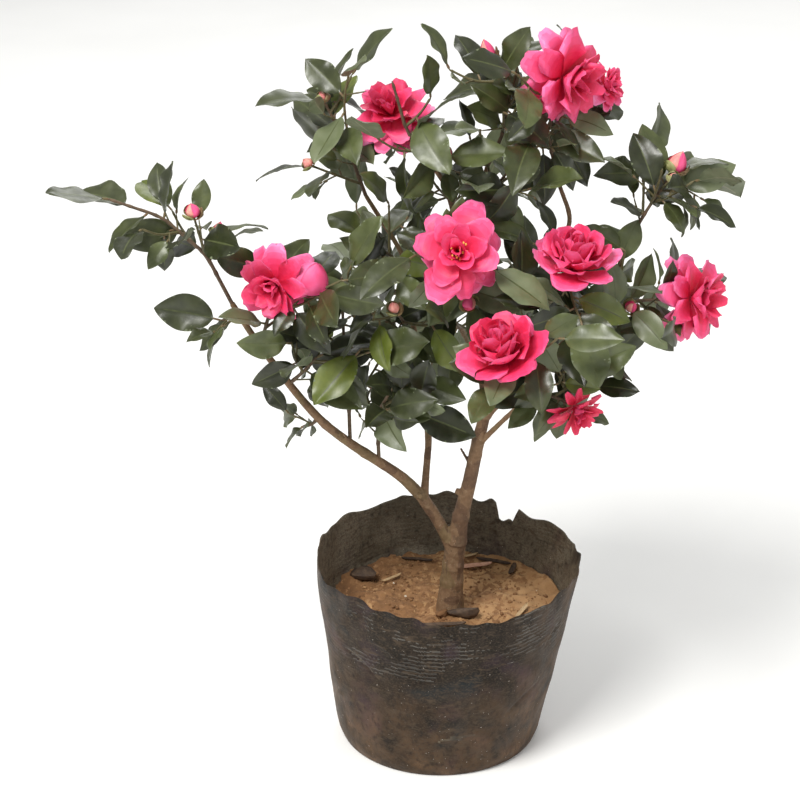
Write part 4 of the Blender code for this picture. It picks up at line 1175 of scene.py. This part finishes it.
def level_ring(radius, height, middle=0.0):
    return [(middle + radius * math.cos(angle), radius * math.sin(angle), height) for angle in BAG_ANGLES]


def outer_ring(share):
    """A ring round the outside of the bag, rounded in at its foot, where the film lies flat."""
    round_in = 0.0022 * max(0.0, 1 - share / 0.055) ** 1.6
    settle = min(1.0, share / 0.12)
    heights = [rim_height(angle) * share for angle in BAG_ANGLES]
    return [bag_point(angle, height, round_in - film_lift(angle, height) * settle)
            for angle, height in zip(BAG_ANGLES, heights)]


def inner_ring(depth, inset):
    """A ring at a depth below the rim, inset from the film's outer face."""
    heights = [rim_height(angle) - depth for angle in BAG_ANGLES]
    return [bag_point(angle, height, inset - film_lift(angle, height))
            for angle, height in zip(BAG_ANGLES, heights)]


def make_bag(materials):
    """Under the bag, up its outside, over its rim and down its inside to below the soil."""
    rings = [level_ring(UNDERSIDE_RADIUS * share, height, BASE_SHIFT) for share, height in UNDERSIDE_RINGS]
    rings += [outer_ring(share) for share in OUTSIDE_SHARES]
    outside = len(rings)
    rings += [inner_ring(0.0, WALL * share) for share in (0.30, 0.72)]
    rings += [inner_ring(depth, WALL) for depth in np.linspace(0.0008, INNER_DEPTH, 44)]
    rings.append([bag_point(angle, HIDDEN_HEIGHT, 0.010) for angle in BAG_ANGLES])
    inside = FILM_SLOTS.index("film_inside")
    slots = np.zeros((len(rings) - 1, BAG_COLUMNS), int)
    for row in range(len(UNDERSIDE_RINGS), outside):
        slots[row] = [film_slot(angle, point[2]) for angle, point in zip(BAG_ANGLES, rings[row])]
    slots[outside + 1:] = inside
    end_slots = np.repeat([0, inside], BAG_COLUMNS // 2 - 1)
    slots = np.concatenate([slots.ravel(), end_slots])
    batch = Batch()
    batch.add(np.array(rings), tube_quads(len(rings), BAG_COLUMNS), slots)
    piece = batch.make("grow_bag_film", [materials[slot] for slot in FILM_SLOTS], 70)
    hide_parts("grow_bag")


# ---------------------------------------------------------------- the soil and what lies on it
SOIL_SLOTS = ("earth", "earth_dark", "earth_pale")
SOIL_COLUMNS = 280
SOIL_ROWS = 96
SOIL_GAP = 0.0002  # between the soil's edge and the film
# The soil's buried side: heights and how far it stands in from the film.
BURIED_HEIGHTS = (0.112, 0.080, 0.040, 0.006)
BURIED_INSET = 0.0035
HOLLOW = (-0.083, 0.012, 0.017, 0.020)  # a hole at the left, with painted shade in it: place, radius, depth


def soil_height(x, y):
    """The uneven top of the soil: mounded clods, a hole at the left and a low rise at the trunk."""
    place = Vector((x, y, 0.0))
    clods = noise.noise(place * 42) * 0.0046 + noise.noise(place * 110 + Vector((3, 1, 0))) * 0.0022
    coarse = noise.noise(place * 26 + Vector((7, 2, 0))) - 0.5 * x / 0.1
    rough = 0.35 + 0.65 * smooth(coarse, -0.4, 0.4)
    grains = rough * (abs(noise.noise(place * 300)) * 0.0022 + noise.noise(place * 800) * 0.0008)
    hole = HOLLOW[3] * math.exp(-((x - HOLLOW[0]) ** 2 + (y - HOLLOW[1]) ** 2) / (HOLLOW[2] ** 2) * 2)
    foot = math.hypot(x - TRUNK_FOOT[0], y - TRUNK_FOOT[1])
    rise = 0.0022 * math.exp(-(foot / 0.030) ** 2)
    return SOIL_LEVEL - 0.0030 + clods + grains + rise - hole


def soil_slot(place):
    """Dark and pale patches in the soil, paler towards the right as painted light and darker towards the
    left as painted shade, and painted shade in its hole.
    """
    # The 5.0 * place.x term is painted light: paler earth to the right, where the crown casts its shadow,
    # and darker earth to the left, where the key light falls.
    patch = 0.5 * noise.noise(place * 36) + 0.7 * noise.noise(place * 230) + 5.0 * place.x
    # Inside the hole the earth is painted dark as shade.
    hole = math.hypot(place.x - HOLLOW[0], place.y - HOLLOW[1]) < HOLLOW[2] * 0.8
    if patch < -0.34 or hole:
        return SOIL_SLOTS.index("earth_dark")
    return SOIL_SLOTS.index("earth_pale" if patch > 0.16 else "earth")


def make_soil(materials):
    """The soil's clumpy top in rings from its middle to the film, and its buried side and floor."""
    angles = np.arange(SOIL_COLUMNS) * 2 * math.pi / SOIL_COLUMNS
    rings = []
    for share in np.linspace(0.0, 1.0, SOIL_ROWS)[1:] ** 0.85:
        ring = []
        for angle in angles:
            edge = bag_point(angle, SOIL_LEVEL, WALL + SOIL_GAP)
            x = TRUNK_FOOT[0] * (1 - share) + edge[0] * share
            y = edge[1] * share
            ring.append((x, y, soil_height(x, y) + 0.004 * smooth(share, 0.86, 1.0)))
        rings.append(ring)
    rings += [[bag_point(angle, height, BURIED_INSET) for angle in angles] for height in BURIED_HEIGHTS]
    rings.append([(0.004 * math.cos(angle), 0.004 * math.sin(angle), 0.004) for angle in angles])
    quads = tube_quads(len(rings), SOIL_COLUMNS)
    corners = np.array(rings[::-1]).reshape(-1, 3)
    batch = Batch()
    batch.add(corners, quads, np.array([soil_slot(Vector(corners[quad].mean(axis=0))) for quad in quads]))
    piece = batch.make("soil_bed", [materials[slot] for slot in SOIL_SLOTS], 180)
    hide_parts("soil")


LUMP_SIDES = 8
LUMP_ROWS = 6
LITTER_SLOTS = ("earth", "earth_dark", "earth_pale", "pebble", "litter_dark", "litter_straw", "litter_bark")
CRUMBS = 640
CRUMB_REACH = 0.098
CRUMB_SLOTS = ("earth", "earth", "earth_dark", "earth_dark", "earth_pale")
CRUMB_SHARE = 0.97  # the rest are small stones
CRUMB_SHAPE = np.array([1.0, 0.8, 0.65])
# Larger stones: x, y, size.
STONES = (
    (-0.036, -0.046, 0.0042),
    (-0.028, -0.052, 0.0026),
    (0.020, -0.066, 0.0024),
    (0.052, -0.040, 0.0030),
    (-0.062, 0.000, 0.0028),
)
STONE_SHAPE = np.array([1.0, 0.8, 0.6])
# Lumps of dead wood at the trunk's foot: x, y, sizes, a seed for turn and shape, slot.
FOOT_LUMPS = (
    (0.027, -0.014, (0.0150, 0.0050, 0.0048), 0.02, "litter_dark"),
    (0.006, -0.015, (0.0066, 0.0040, 0.0036), 0.25, "earth_dark"),
    (-0.066, 0.058, (0.0130, 0.0090, 0.0060), 1.30, "litter_dark"),
)
# Strips that lie on the soil: x, y, turn in degrees, length, width, slot.
STRIPS = (
    (0.036, 0.078, 12, 0.038, 0.0075, "litter_bark"),
    (0.056, 0.088, 160, 0.034, 0.0060, "litter_dark"),
    (0.030, 0.096, 25, 0.026, 0.0040, "litter_straw"),
    (0.073, 0.070, 75, 0.022, 0.0050, "litter_dark"),
    (0.004, -0.036, 4, 0.046, 0.0060, "litter_dark"),
    (-0.040, 0.052, 40, 0.024, 0.0035, "litter_straw"),
    (-0.056, -0.030, 110, 0.020, 0.0050, "litter_bark"),
    (0.078, -0.012, 65, 0.028, 0.0040, "litter_straw"),
    (0.060, -0.052, 150, 0.022, 0.0045, "litter_dark"),
    (-0.016, 0.092, 170, 0.030, 0.0050, "litter_dark"),
)
STRIP_ALONG = np.linspace(-0.5, 0.5, 16)[:, None]
STRIP_ASIDE = np.linspace(-0.5, 0.5, 5)[None, :]
STRIP_HALF = 0.0004


def add_lump(batch, centre, sizes, seed, slot, roughness=0.35):
    """A closed uneven lump; its seed gives its turn and its shape."""
    tilts = np.linspace(math.pi * 0.98, math.pi * 0.02, LUMP_ROWS)
    turns = np.arange(LUMP_SIDES) * 2 * math.pi / LUMP_SIDES
    directions = np.array([(math.sin(tilt) * math.cos(turn), math.sin(tilt) * math.sin(turn), math.cos(tilt))
                           for tilt in tilts for turn in turns])
    reach = np.array([1 + roughness * noise.noise(Vector(direction) * 1.7 + Vector((seed, 0, 0)))
                      for direction in directions])
    turn = seed * 2.4
    shape = directions * reach[:, None] * np.array(sizes)
    x = shape[:, 0] * math.cos(turn) - shape[:, 1] * math.sin(turn)
    y = shape[:, 0] * math.sin(turn) + shape[:, 1] * math.cos(turn)
    corners = np.stack([x, y, shape[:, 2]], axis=1) + np.array(centre)
    batch.add(corners, tube_quads(LUMP_ROWS, LUMP_SIDES), slot)


def add_strip(batch, x, y, degrees, length, width, slot):
    """A thin, slightly curled strip that lies on the soil."""
    turn = math.radians(degrees)
    taper = np.sqrt(np.clip(1 - (2 * STRIP_ALONG) ** 4, 0.02, 1))
    a = STRIP_ALONG * length * np.ones_like(STRIP_ASIDE)
    b = STRIP_ASIDE * width * taper + 0.10 * length * STRIP_ALONG ** 2
    place_x = x + a * math.cos(turn) - b * math.sin(turn)
    place_y = y + a * math.sin(turn) + b * math.cos(turn)
    ground = max(soil_height(px, py) for px, py in zip(place_x[::3, 2], place_y[::3, 2]))
    curl = (0.0035 * np.abs(2 * STRIP_ALONG) ** 2 + 0.0016 * np.cos(5 * STRIP_ALONG)
            + 0.0012 * (2 * STRIP_ASIDE) ** 2)
    middle = np.stack([place_x, place_y, ground + 0.0004 + curl * np.ones_like(a)], axis=-1)
    half = (STRIP_HALF * np.minimum(1, (0.5 - np.abs(STRIP_ASIDE)) / 0.1)
            * np.minimum(1, (0.5 - np.abs(STRIP_ALONG)) / 0.05))
    slots = np.full(2 * (STRIP_ALONG.size - 1) * (STRIP_ASIDE.size - 1), slot)
    add_sheets(batch, middle[None], half[None], [slots])


def make_litter(materials):
    """Crumbs of soil, small stones and strips of bark and dead leaf on the soil."""
    batch = Batch()
    chance = random.Random("litter")
    for count in range(CRUMBS):
        angle = chance.uniform(0, 2 * math.pi)
        reach = CRUMB_REACH * math.sqrt(chance.uniform(0.02, 1.0))
        x = RIM_SHIFT * 0.7 + reach * math.cos(angle)
        y = reach * math.sin(angle)
        size = 0.0006 + 0.0019 * chance.random() ** 4
        slot = chance.choice(CRUMB_SLOTS) if chance.random() < CRUMB_SHARE else "pebble"
        centre = (x, y, soil_height(x, y) + size * 0.35)
        add_lump(batch, centre, size * CRUMB_SHAPE, count * 0.37, LITTER_SLOTS.index(slot))
    for x, y, size in STONES:
        centre = (x, y, soil_height(x, y) + size * 0.4)
        add_lump(batch, centre, size * STONE_SHAPE, x * 90, LITTER_SLOTS.index("pebble"), 0.2)
    for x, y, sizes, seed, slot in FOOT_LUMPS:
        add_lump(batch, (x, y, SOIL_LEVEL + sizes[2] * 0.5), sizes, seed, LITTER_SLOTS.index(slot), 0.5)
    for x, y, degrees, length, width, slot in STRIPS:
        add_strip(batch, x, y, degrees, length, width, LITTER_SLOTS.index(slot))
    batch.make("soil_litter", [materials[slot] for slot in LITTER_SLOTS], 60)


# ---------------------------------------------------------------- materials
class Look:
    """A Principled material, and short ways to add nodes to it."""

    def __init__(self, name, base):
        self.material = bpy.data.materials.new(name)
        self.material.use_nodes = True
        self.tree = self.material.node_tree
        self.shader = self.tree.nodes["Principled BSDF"]
        self.colour = base

    def put(self, socket, value):
        """Links a socket to another node's output, or gives it a plain value."""
        if isinstance(value, bpy.types.NodeSocket):
            self.tree.links.new(value, socket)
        elif socket.type == "RGBA":
            socket.default_value = (*value, 1.0)
        else:
            socket.default_value = value

    def node(self, kind, output, inputs):
        """Adds a node and gives back one of its outputs."""
        made = self.tree.nodes.new(kind)
        for socket, value in inputs.items():
            self.put(made.inputs[socket], value)
        return made.outputs[output]

    def computed(self, operation, *values, clamp=False):
        """The result of a mathematical operation on values."""
        made = self.tree.nodes.new("ShaderNodeMath")
        made.operation = operation
        made.use_clamp = clamp
        for socket, value in zip(made.inputs, values):
            self.put(socket, value)
        return made.outputs["Value"]

    def spread(self, value, low, high, least=0.0, most=1.0):
        """A value's range from low to high, spread from least to most."""
        ends = {"From Min": low, "From Max": high, "To Min": least, "To Max": most}
        return self.node("ShaderNodeMapRange", "Result", {"Value": value, **ends})

    def mask(self, scale, low, high, detail=4.0, stretch=None, distortion=0.0):
        """Noise in metres of the object's own space, as a mask from 0 to 1."""
        place = self.node("ShaderNodeTexCoord", "Object", {})
        if stretch:
            place = self.node("ShaderNodeMapping", "Vector", {"Vector": place, "Scale": stretch})
        shape = {"Vector": place, "Scale": scale, "Detail": detail, "Distortion": distortion}
        return self.spread(self.node("ShaderNodeTexNoise", "Fac", shape), low, high)

    def tint(self, mask, colour):
        """Goes over to another colour where the mask is 1."""
        mix = self.tree.nodes.new("ShaderNodeMix")
        mix.data_type = "RGBA"
        for socket, value in (("Factor", mask), ("A", self.colour), ("B", colour)):
            self.put(mix.inputs[socket], value)
        self.colour = mix.outputs["Result"]
        self.put(self.shader.inputs["Base Color"], self.colour)


FINE_BUMP = (300.0, 0.2, 0.0002)  # scale of its noise per metre, strength and distance


def surface(name, base, second, scale, roughness, bump=FINE_BUMP, third=None, speck=None, **values):
    """A Principled material that wanders between two or three colours, with specks and a fine bump."""
    look = Look(name, base)
    look.tint(look.mask(scale, 0.36, 0.64), second)
    if third:
        look.tint(look.mask(scale * 3.7, 0.52, 0.70), third)
    if speck:
        speck_colour, speck_scale, threshold = speck
        look.tint(look.mask(speck_scale, threshold, threshold + 0.05, 2.0), speck_colour)
    values["Roughness"] = look.spread(look.mask(scale * 2.3, 0.3, 0.7), 0.0, 1.0, *roughness)
    if bump:
        bump_scale, strength, distance = bump
        relief = {"Strength": strength, "Distance": distance, "Height": look.mask(bump_scale, 0.2, 0.8)}
        values["Normal"] = look.node("ShaderNodeBump", "Normal", relief)
    for socket, value in values.items():
        look.put(look.shader.inputs[socket.replace("_", " ")], value)
    return look


LEAF = {"bump": (300.0, 0.25, 0.0002), "Specular_IOR_Level": 0.60}
LEAF_BACK = {"bump": (500.0, 0.3, 0.0002)}
PETAL = {"bump": (700.0, 0.20, 0.00012), "Subsurface_Weight": 0.12, "Subsurface_Scale": 0.003}
BARK = {"bump": (900.0, 0.5, 0.00025)}
SCARRED_BARK = {**BARK, "speck": ((0.30, 0.23, 0.15), 700, 0.66)}
SCARRED_RED_BARK = {**BARK, "speck": ((0.24, 0.15, 0.09), 700, 0.66)}
SOIL = {"bump": (1500.0, 0.7, 0.0004)}
WARM_SOIL = {**SOIL, "third": (0.340, 0.180, 0.082)}
# Each finish: two colours, the scale of its patches per metre, its roughness, and what else it has.
FINISHES = {
    "leaf_dark": ((0.014, 0.018, 0.004), (0.027, 0.033, 0.009), 90, (0.30, 0.42), LEAF),
    "leaf_deep": ((0.028, 0.035, 0.009), (0.050, 0.060, 0.018), 80, (0.32, 0.44), LEAF),
    "leaf_green": ((0.052, 0.066, 0.018), (0.088, 0.106, 0.034), 70, (0.32, 0.46), LEAF),
    "leaf_sheen": ((0.098, 0.120, 0.052), (0.150, 0.172, 0.090), 60, (0.36, 0.48), LEAF),
    "leaf_young": ((0.072, 0.096, 0.010), (0.118, 0.142, 0.018), 60, (0.34, 0.46), LEAF),
    "leaf_rib": ((0.058, 0.071, 0.023), (0.082, 0.096, 0.034), 200, (0.42, 0.52), {}),
    "leaf_back": ((0.120, 0.145, 0.075), (0.165, 0.190, 0.110), 110, (0.50, 0.62), LEAF_BACK),
    "leaf_back_rib": ((0.190, 0.210, 0.120), (0.230, 0.240, 0.150), 200, (0.5, 0.6), {}),
    "petiole": ((0.150, 0.130, 0.055), (0.170, 0.100, 0.055), 260, (0.45, 0.6), {}),
    "petal_back": ((0.790, 0.058, 0.175), (0.850, 0.110, 0.280), 75, (0.52, 0.66), PETAL),
    "petal_pale": ((0.800, 0.240, 0.235), (0.845, 0.380, 0.310), 140, (0.50, 0.62), PETAL),
    "sepal_green": ((0.230, 0.250, 0.085), (0.340, 0.330, 0.150), 160, (0.45, 0.6), {}),
    "sepal_brown": ((0.180, 0.105, 0.050), (0.290, 0.210, 0.100), 160, (0.5, 0.65), {}),
    "stamen": ((0.850, 0.300, 0.180), (0.880, 0.420, 0.260), 300, (0.5, 0.6), {}),
    "anther": ((0.800, 0.470, 0.060), (0.860, 0.600, 0.150), 300, (0.5, 0.6), {}),
    "twig_green": ((0.085, 0.078, 0.030), (0.130, 0.110, 0.046), 200, (0.5, 0.7), {}),
    "twig_brown": ((0.085, 0.055, 0.032), (0.140, 0.090, 0.052), 220, (0.6, 0.8), {}),
    "bark_brown": ((0.165, 0.092, 0.046), (0.225, 0.135, 0.072), 260, (0.66, 0.84), SCARRED_BARK),
    "bark_dark": ((0.115, 0.068, 0.036), (0.155, 0.094, 0.052), 300, (0.70, 0.88), BARK),
    "bark_pale": ((0.195, 0.120, 0.064), (0.255, 0.165, 0.092), 260, (0.66, 0.84), BARK),
    "bark_red": ((0.105, 0.056, 0.030), (0.155, 0.086, 0.046), 240, (0.66, 0.84), SCARRED_RED_BARK),
    "bark_olive": ((0.150, 0.094, 0.042), (0.200, 0.132, 0.064), 240, (0.66, 0.84), BARK),
    "earth": ((0.195, 0.094, 0.036), (0.285, 0.145, 0.060), 45, (0.88, 0.98), WARM_SOIL),
    "earth_dark": ((0.155, 0.072, 0.028), (0.230, 0.112, 0.046), 60, (0.88, 0.98), SOIL),
    "earth_pale": ((0.310, 0.165, 0.070), (0.430, 0.250, 0.116), 60, (0.88, 0.98), SOIL),
    "pebble": ((0.560, 0.460, 0.350), (0.680, 0.590, 0.480), 200, (0.7, 0.85), {}),
    "litter_dark": ((0.050, 0.030, 0.020), (0.105, 0.066, 0.040), 240, (0.7, 0.9), {}),
    "litter_straw": ((0.400, 0.270, 0.140), (0.520, 0.370, 0.210), 240, (0.7, 0.85), {}),
    "litter_bark": ((0.460, 0.240, 0.160), (0.580, 0.330, 0.230), 240, (0.7, 0.85), {}),
}
# The colours of a petal from its root to its palest margin.
PETAL_RAMP = (
    (0.500, 0.004, 0.032),
    (0.650, 0.012, 0.062),
    (0.760, 0.028, 0.110),
    (0.820, 0.062, 0.195),
    (0.850, 0.175, 0.385),
)
# Kinds of film: two colours, and how much brown dust lies on it, which also sets the painted grazing sheen
# at its sides.
FILMS = {
    "film": ((0.008, 0.006, 0.004), (0.018, 0.014, 0.010), 1.0),
    "film_glint": ((0.052, 0.050, 0.046), (0.115, 0.108, 0.096), 0.3),
    "film_pale": ((0.085, 0.068, 0.046), (0.135, 0.112, 0.078), 0.3),
    "film_inside": ((0.120, 0.102, 0.072), (0.200, 0.172, 0.128), 0.5),
}
FILM_SHEEN = {"Specular_IOR_Level": 0.14, "Sheen_Weight": 0.03, "Sheen_Tint": (0.60, 0.46, 0.34)}


def film_look(name, base, second, dust_and_side_sheen):
    """Black plastic film with a purple and a bluish cast, fine grime, brown dust low down, brown at its left
    and right sides that is partly dust and partly a painted grazing sheen, and specks.
    """
    look = surface(name, base, second, 26, (0.46, 0.66), (650.0, 0.35, 0.0003), **FILM_SHEEN)
    look.tint(look.mask(21, 0.56, 0.72), (0.036, 0.020, 0.030))
    look.tint(look.mask(16, 0.55, 0.70, distortion=0.6), (0.010, 0.018, 0.022))
    place = look.node("ShaderNodeTexCoord", "Object", {})
    beside = look.computed("ABSOLUTE", look.node("ShaderNodeSeparateXYZ", "X", {"Vector": place}))
    above = look.node("ShaderNodeSeparateXYZ", "Z", {"Vector": place})
    low_down = look.spread(above, 0.115, 0.010, 0.04 * dust_and_side_sheen, 0.95 * dust_and_side_sheen)
    # Brown towards the bag's left and right sides as seen from the front: partly dust, partly a painted
    # grazing sheen.
    sides_dust_and_sheen = look.spread(beside, 0.055, 0.115, 0.0, 0.55 * dust_and_side_sheen)
    patches = look.mask(44, 0.30, 0.72, 10.0, distortion=0.4)
    dust_and_sheen_mask = look.computed("MULTIPLY", look.computed("ADD", low_down, sides_dust_and_sheen), patches, clamp=True)
    look.tint(dust_and_sheen_mask, (0.150, 0.086, 0.045))
    look.tint(look.mask(75, 0.54, 0.76, 9.0, (1, 1, 2.6), 0.7), (0.080, 0.055, 0.035))
    look.tint(look.mask(520, 0.46, 0.78, 6.0, (1, 1, 1.6)), (0.066, 0.047, 0.033))
    look.tint(look.mask(240, 0.50, 0.90, 8.0, (1, 1, 0.8)), (0.012, 0.009, 0.008))
    look.tint(look.mask(600, 0.775, 0.795, 1.0), (0.45, 0.40, 0.35))
    return look


def petal_look(name, step):
    """The finish of a petal at one step from its root to its margin."""
    place = step / (len(PETAL_TONES) - 1) * (len(PETAL_RAMP) - 1)
    red, green, blue = (float(np.interp(place, range(len(PETAL_RAMP)), band)) for band in zip(*PETAL_RAMP))
    second = (min(0.90, red * 1.06), green * 1.35 + 0.004, blue * 1.25 + 0.006)
    return surface(name, (red, green, blue), second, 110, (0.48, 0.62), **PETAL)


def make_materials():
    looks = {name: surface(name, *finish, **extras) for name, (*finish, extras) in FINISHES.items()}
    looks.update((name, petal_look(name, step)) for step, name in enumerate(PETAL_TONES))
    looks.update((name, film_look(name, *film)) for name, film in FILMS.items())
    return {name: look.material for name, look in looks.items()}


# ---------------------------------------------------------------- the scene
FRONT = np.array([0.0, -0.9135, 0.4067])  # the side that the plant shows
LEAF_SPOT_SHARES = (0.3, 0.6, 0.9)
TWIG_SPOT_SHARES = np.linspace(0.4, 1.0, 16)
LEAF_REACH = 0.0022  # a leaf starts this near to the middle of its own twig
TWIG_SIDES = 8
SPUR_SIDES = 6
FLOOR_REACH = 40.0
STAGE_MIDDLE = (0.0, 0.0, 0.35)
CAMERA_TARGET = Vector((-0.0323, 0.0, 0.3278))
CAMERA_DISTANCE = 2.0
CAMERA_RISE = math.radians(24)
CAMERA_LENS = 103.275


def make_floor():
    mesh = bpy.data.meshes.new("floor")
    corners = [(x * FLOOR_REACH, y * FLOOR_REACH, 0) for x, y in ((-1, -1), (1, -1), (1, 1), (-1, 1))]
    mesh.from_pydata(corners, [], [(0, 1, 2, 3)])
    finish = surface("floor_pale", (0.90, 0.90, 0.89), (0.93, 0.93, 0.92), 3, (0.85, 0.95), bump=None)
    mesh.materials.append(finish.material)
    placed("floor", mesh)


def add_light(name, place, size, power, colour=(1, 1, 1)):
    data = bpy.data.lights.new(name, "AREA")
    data.shape = "DISK"
    data.size = size
    data.energy = power
    data.color = colour
    light = placed(name, data)
    light.location = place
    light.rotation_euler = (Vector(STAGE_MIDDLE) - Vector(place)).to_track_quat("-Z", "Y").to_euler()


def make_stage():
    make_floor()
    add_light("key", (-1.1, -1.5, 2.9), 1.4, 108, (1.0, 0.99, 0.96))
    add_light("fill", (2.2, -1.6, 1.2), 2.0, 12)
    add_light("back", (0.4, 2.4, 2.2), 1.8, 30)
    world = bpy.data.worlds.new("studio")
    world.use_nodes = True
    world.node_tree.nodes["Background"].inputs["Color"].default_value = (1.0, 1.0, 0.99, 1.0)
    world.node_tree.nodes["Background"].inputs["Strength"].default_value = 0.54
    bpy.context.scene.world = world
    bpy.context.scene.view_settings.view_transform = "Standard"
    data = bpy.data.cameras.new("camera")
    data.lens = CAMERA_LENS
    data.sensor_width = 36.0
    data.sensor_fit = "HORIZONTAL"
    camera = placed("camera", data)
    back = Vector((0.0, -math.cos(CAMERA_RISE), math.sin(CAMERA_RISE)))
    camera.location = CAMERA_TARGET + back * CAMERA_DISTANCE
    camera.rotation_euler = (math.pi / 2 - CAMERA_RISE, 0.0, 0.0)
    bpy.context.scene.camera = camera


def stands_before(points, spots):
    """Whether a leaf or twig would stand before one of the spots where the plant shows a bloom or bud."""
    for point in points:
        for place, radius in spots:
            offset = point - place
            depth = offset @ FRONT
            if depth > 0 and np.linalg.norm(offset - FRONT * depth) < radius:
                return True
    return False


def free_leaves(growths, small, spots):
    """All leaves that hide no bloom or bud, from left to right, and whether each is one of a young mass."""
    leaves = [(leaf, growth.name in YOUNG_MASSES) for growth in growths for leaf in growth.leaves]
    leaves += [(leaf, False) for leaf in small]
    kept = []
    for leaf, young in leaves:
        points = [leaf.root + leaf.along * leaf.length * share for share in LEAF_SPOT_SHARES]
        if not stands_before(points, spots):
            kept.append((leaf, young))
    return sorted(kept, key=lambda pair: pair[0].root[0])


def make_leaves(growths, leaves, materials):
    """Three pieces of leaves, from left to right, that stand for the leaves of every mass."""
    chance = np.random.default_rng(20)
    tones = chance.choice(len(LEAF_TONES), len(leaves), p=TONE_SHARES)
    for index, (_, young) in enumerate(leaves):
        if young and chance.random() < YOUNG_SHARE:
            tones[index] = LEAF_TONES.index("leaf_young")
    third = -(-len(leaves) // 3)
    for number, name in enumerate(("leaves_left", "leaves_middle", "leaves_right")):
        batch = Batch()
        chosen = slice(number * third, (number + 1) * third)
        add_leaves(batch, [leaf for leaf, _ in leaves[chosen]], tones[chosen], chance)
        piece = batch.make(name, [materials[slot] for slot in LEAF_SLOTS], 80)
        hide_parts(*[growth.name for growth in growths])


def make_foliage(growths, obstacles, materials):
    """Leaves, twigs, blooms and buds of all masses, each kind in pieces of its own."""
    spurs, small = grow_spurs(growths, obstacles)
    spots = []
    for growth in growths:
        spots += [(root + unit(bloom.axis) * bloom.radius * 0.3, bloom.radius * 0.75)
                  for root, bloom, _ in growth.blooms]
        spots += [(root + axis * bud.length * 0.6, bud.length * 0.4 + 0.006)
                  for root, axis, bud in growth.buds]
    leaves = free_leaves(growths, small, spots)
    make_leaves(growths, leaves, materials)
    twigs = Batch()
    for growth in growths:
        for number, (tube, _) in enumerate(growth.twigs):
            nodes = np.linspace(0.2, 0.95, max(2, int(tube.length / NODE_PITCH)))
            add_twig(twigs, tube, TWIG_SIDES, nodes, 0 if number else 1)
    for spur in spurs:
        points = np.array([spur.at(share) for share in TWIG_SPOT_SHARES])
        leafy = any(np.linalg.norm(points - leaf.root, axis=1).min() < LEAF_REACH for leaf, _ in leaves)
        if leafy or not stands_before(points[::5], spots):
            add_twig(twigs, spur, SPUR_SIDES, [0.6], 0)
    twigs.make("twigs", [materials["twig_green"], materials["twig_brown"]])
    blooms = Batch()
    for growth in growths:
        for root, bloom, _ in growth.blooms:
            add_bloom(blooms, root, bloom, growth.name)
        for root, axis, bud in growth.buds:
            add_bud(blooms, root, axis, bud)
    blooms.make("blooms_and_buds", [materials[name] for name in BLOSSOM_SLOTS], 80)


def main():
    materials = make_materials()
    limbs, growths, obstacles = grow_plant()
    make_foliage(growths, obstacles, materials)
    make_bark(limbs, materials)
    make_bag(materials)
    make_soil(materials)
    make_litter(materials)
    make_stage()


main()
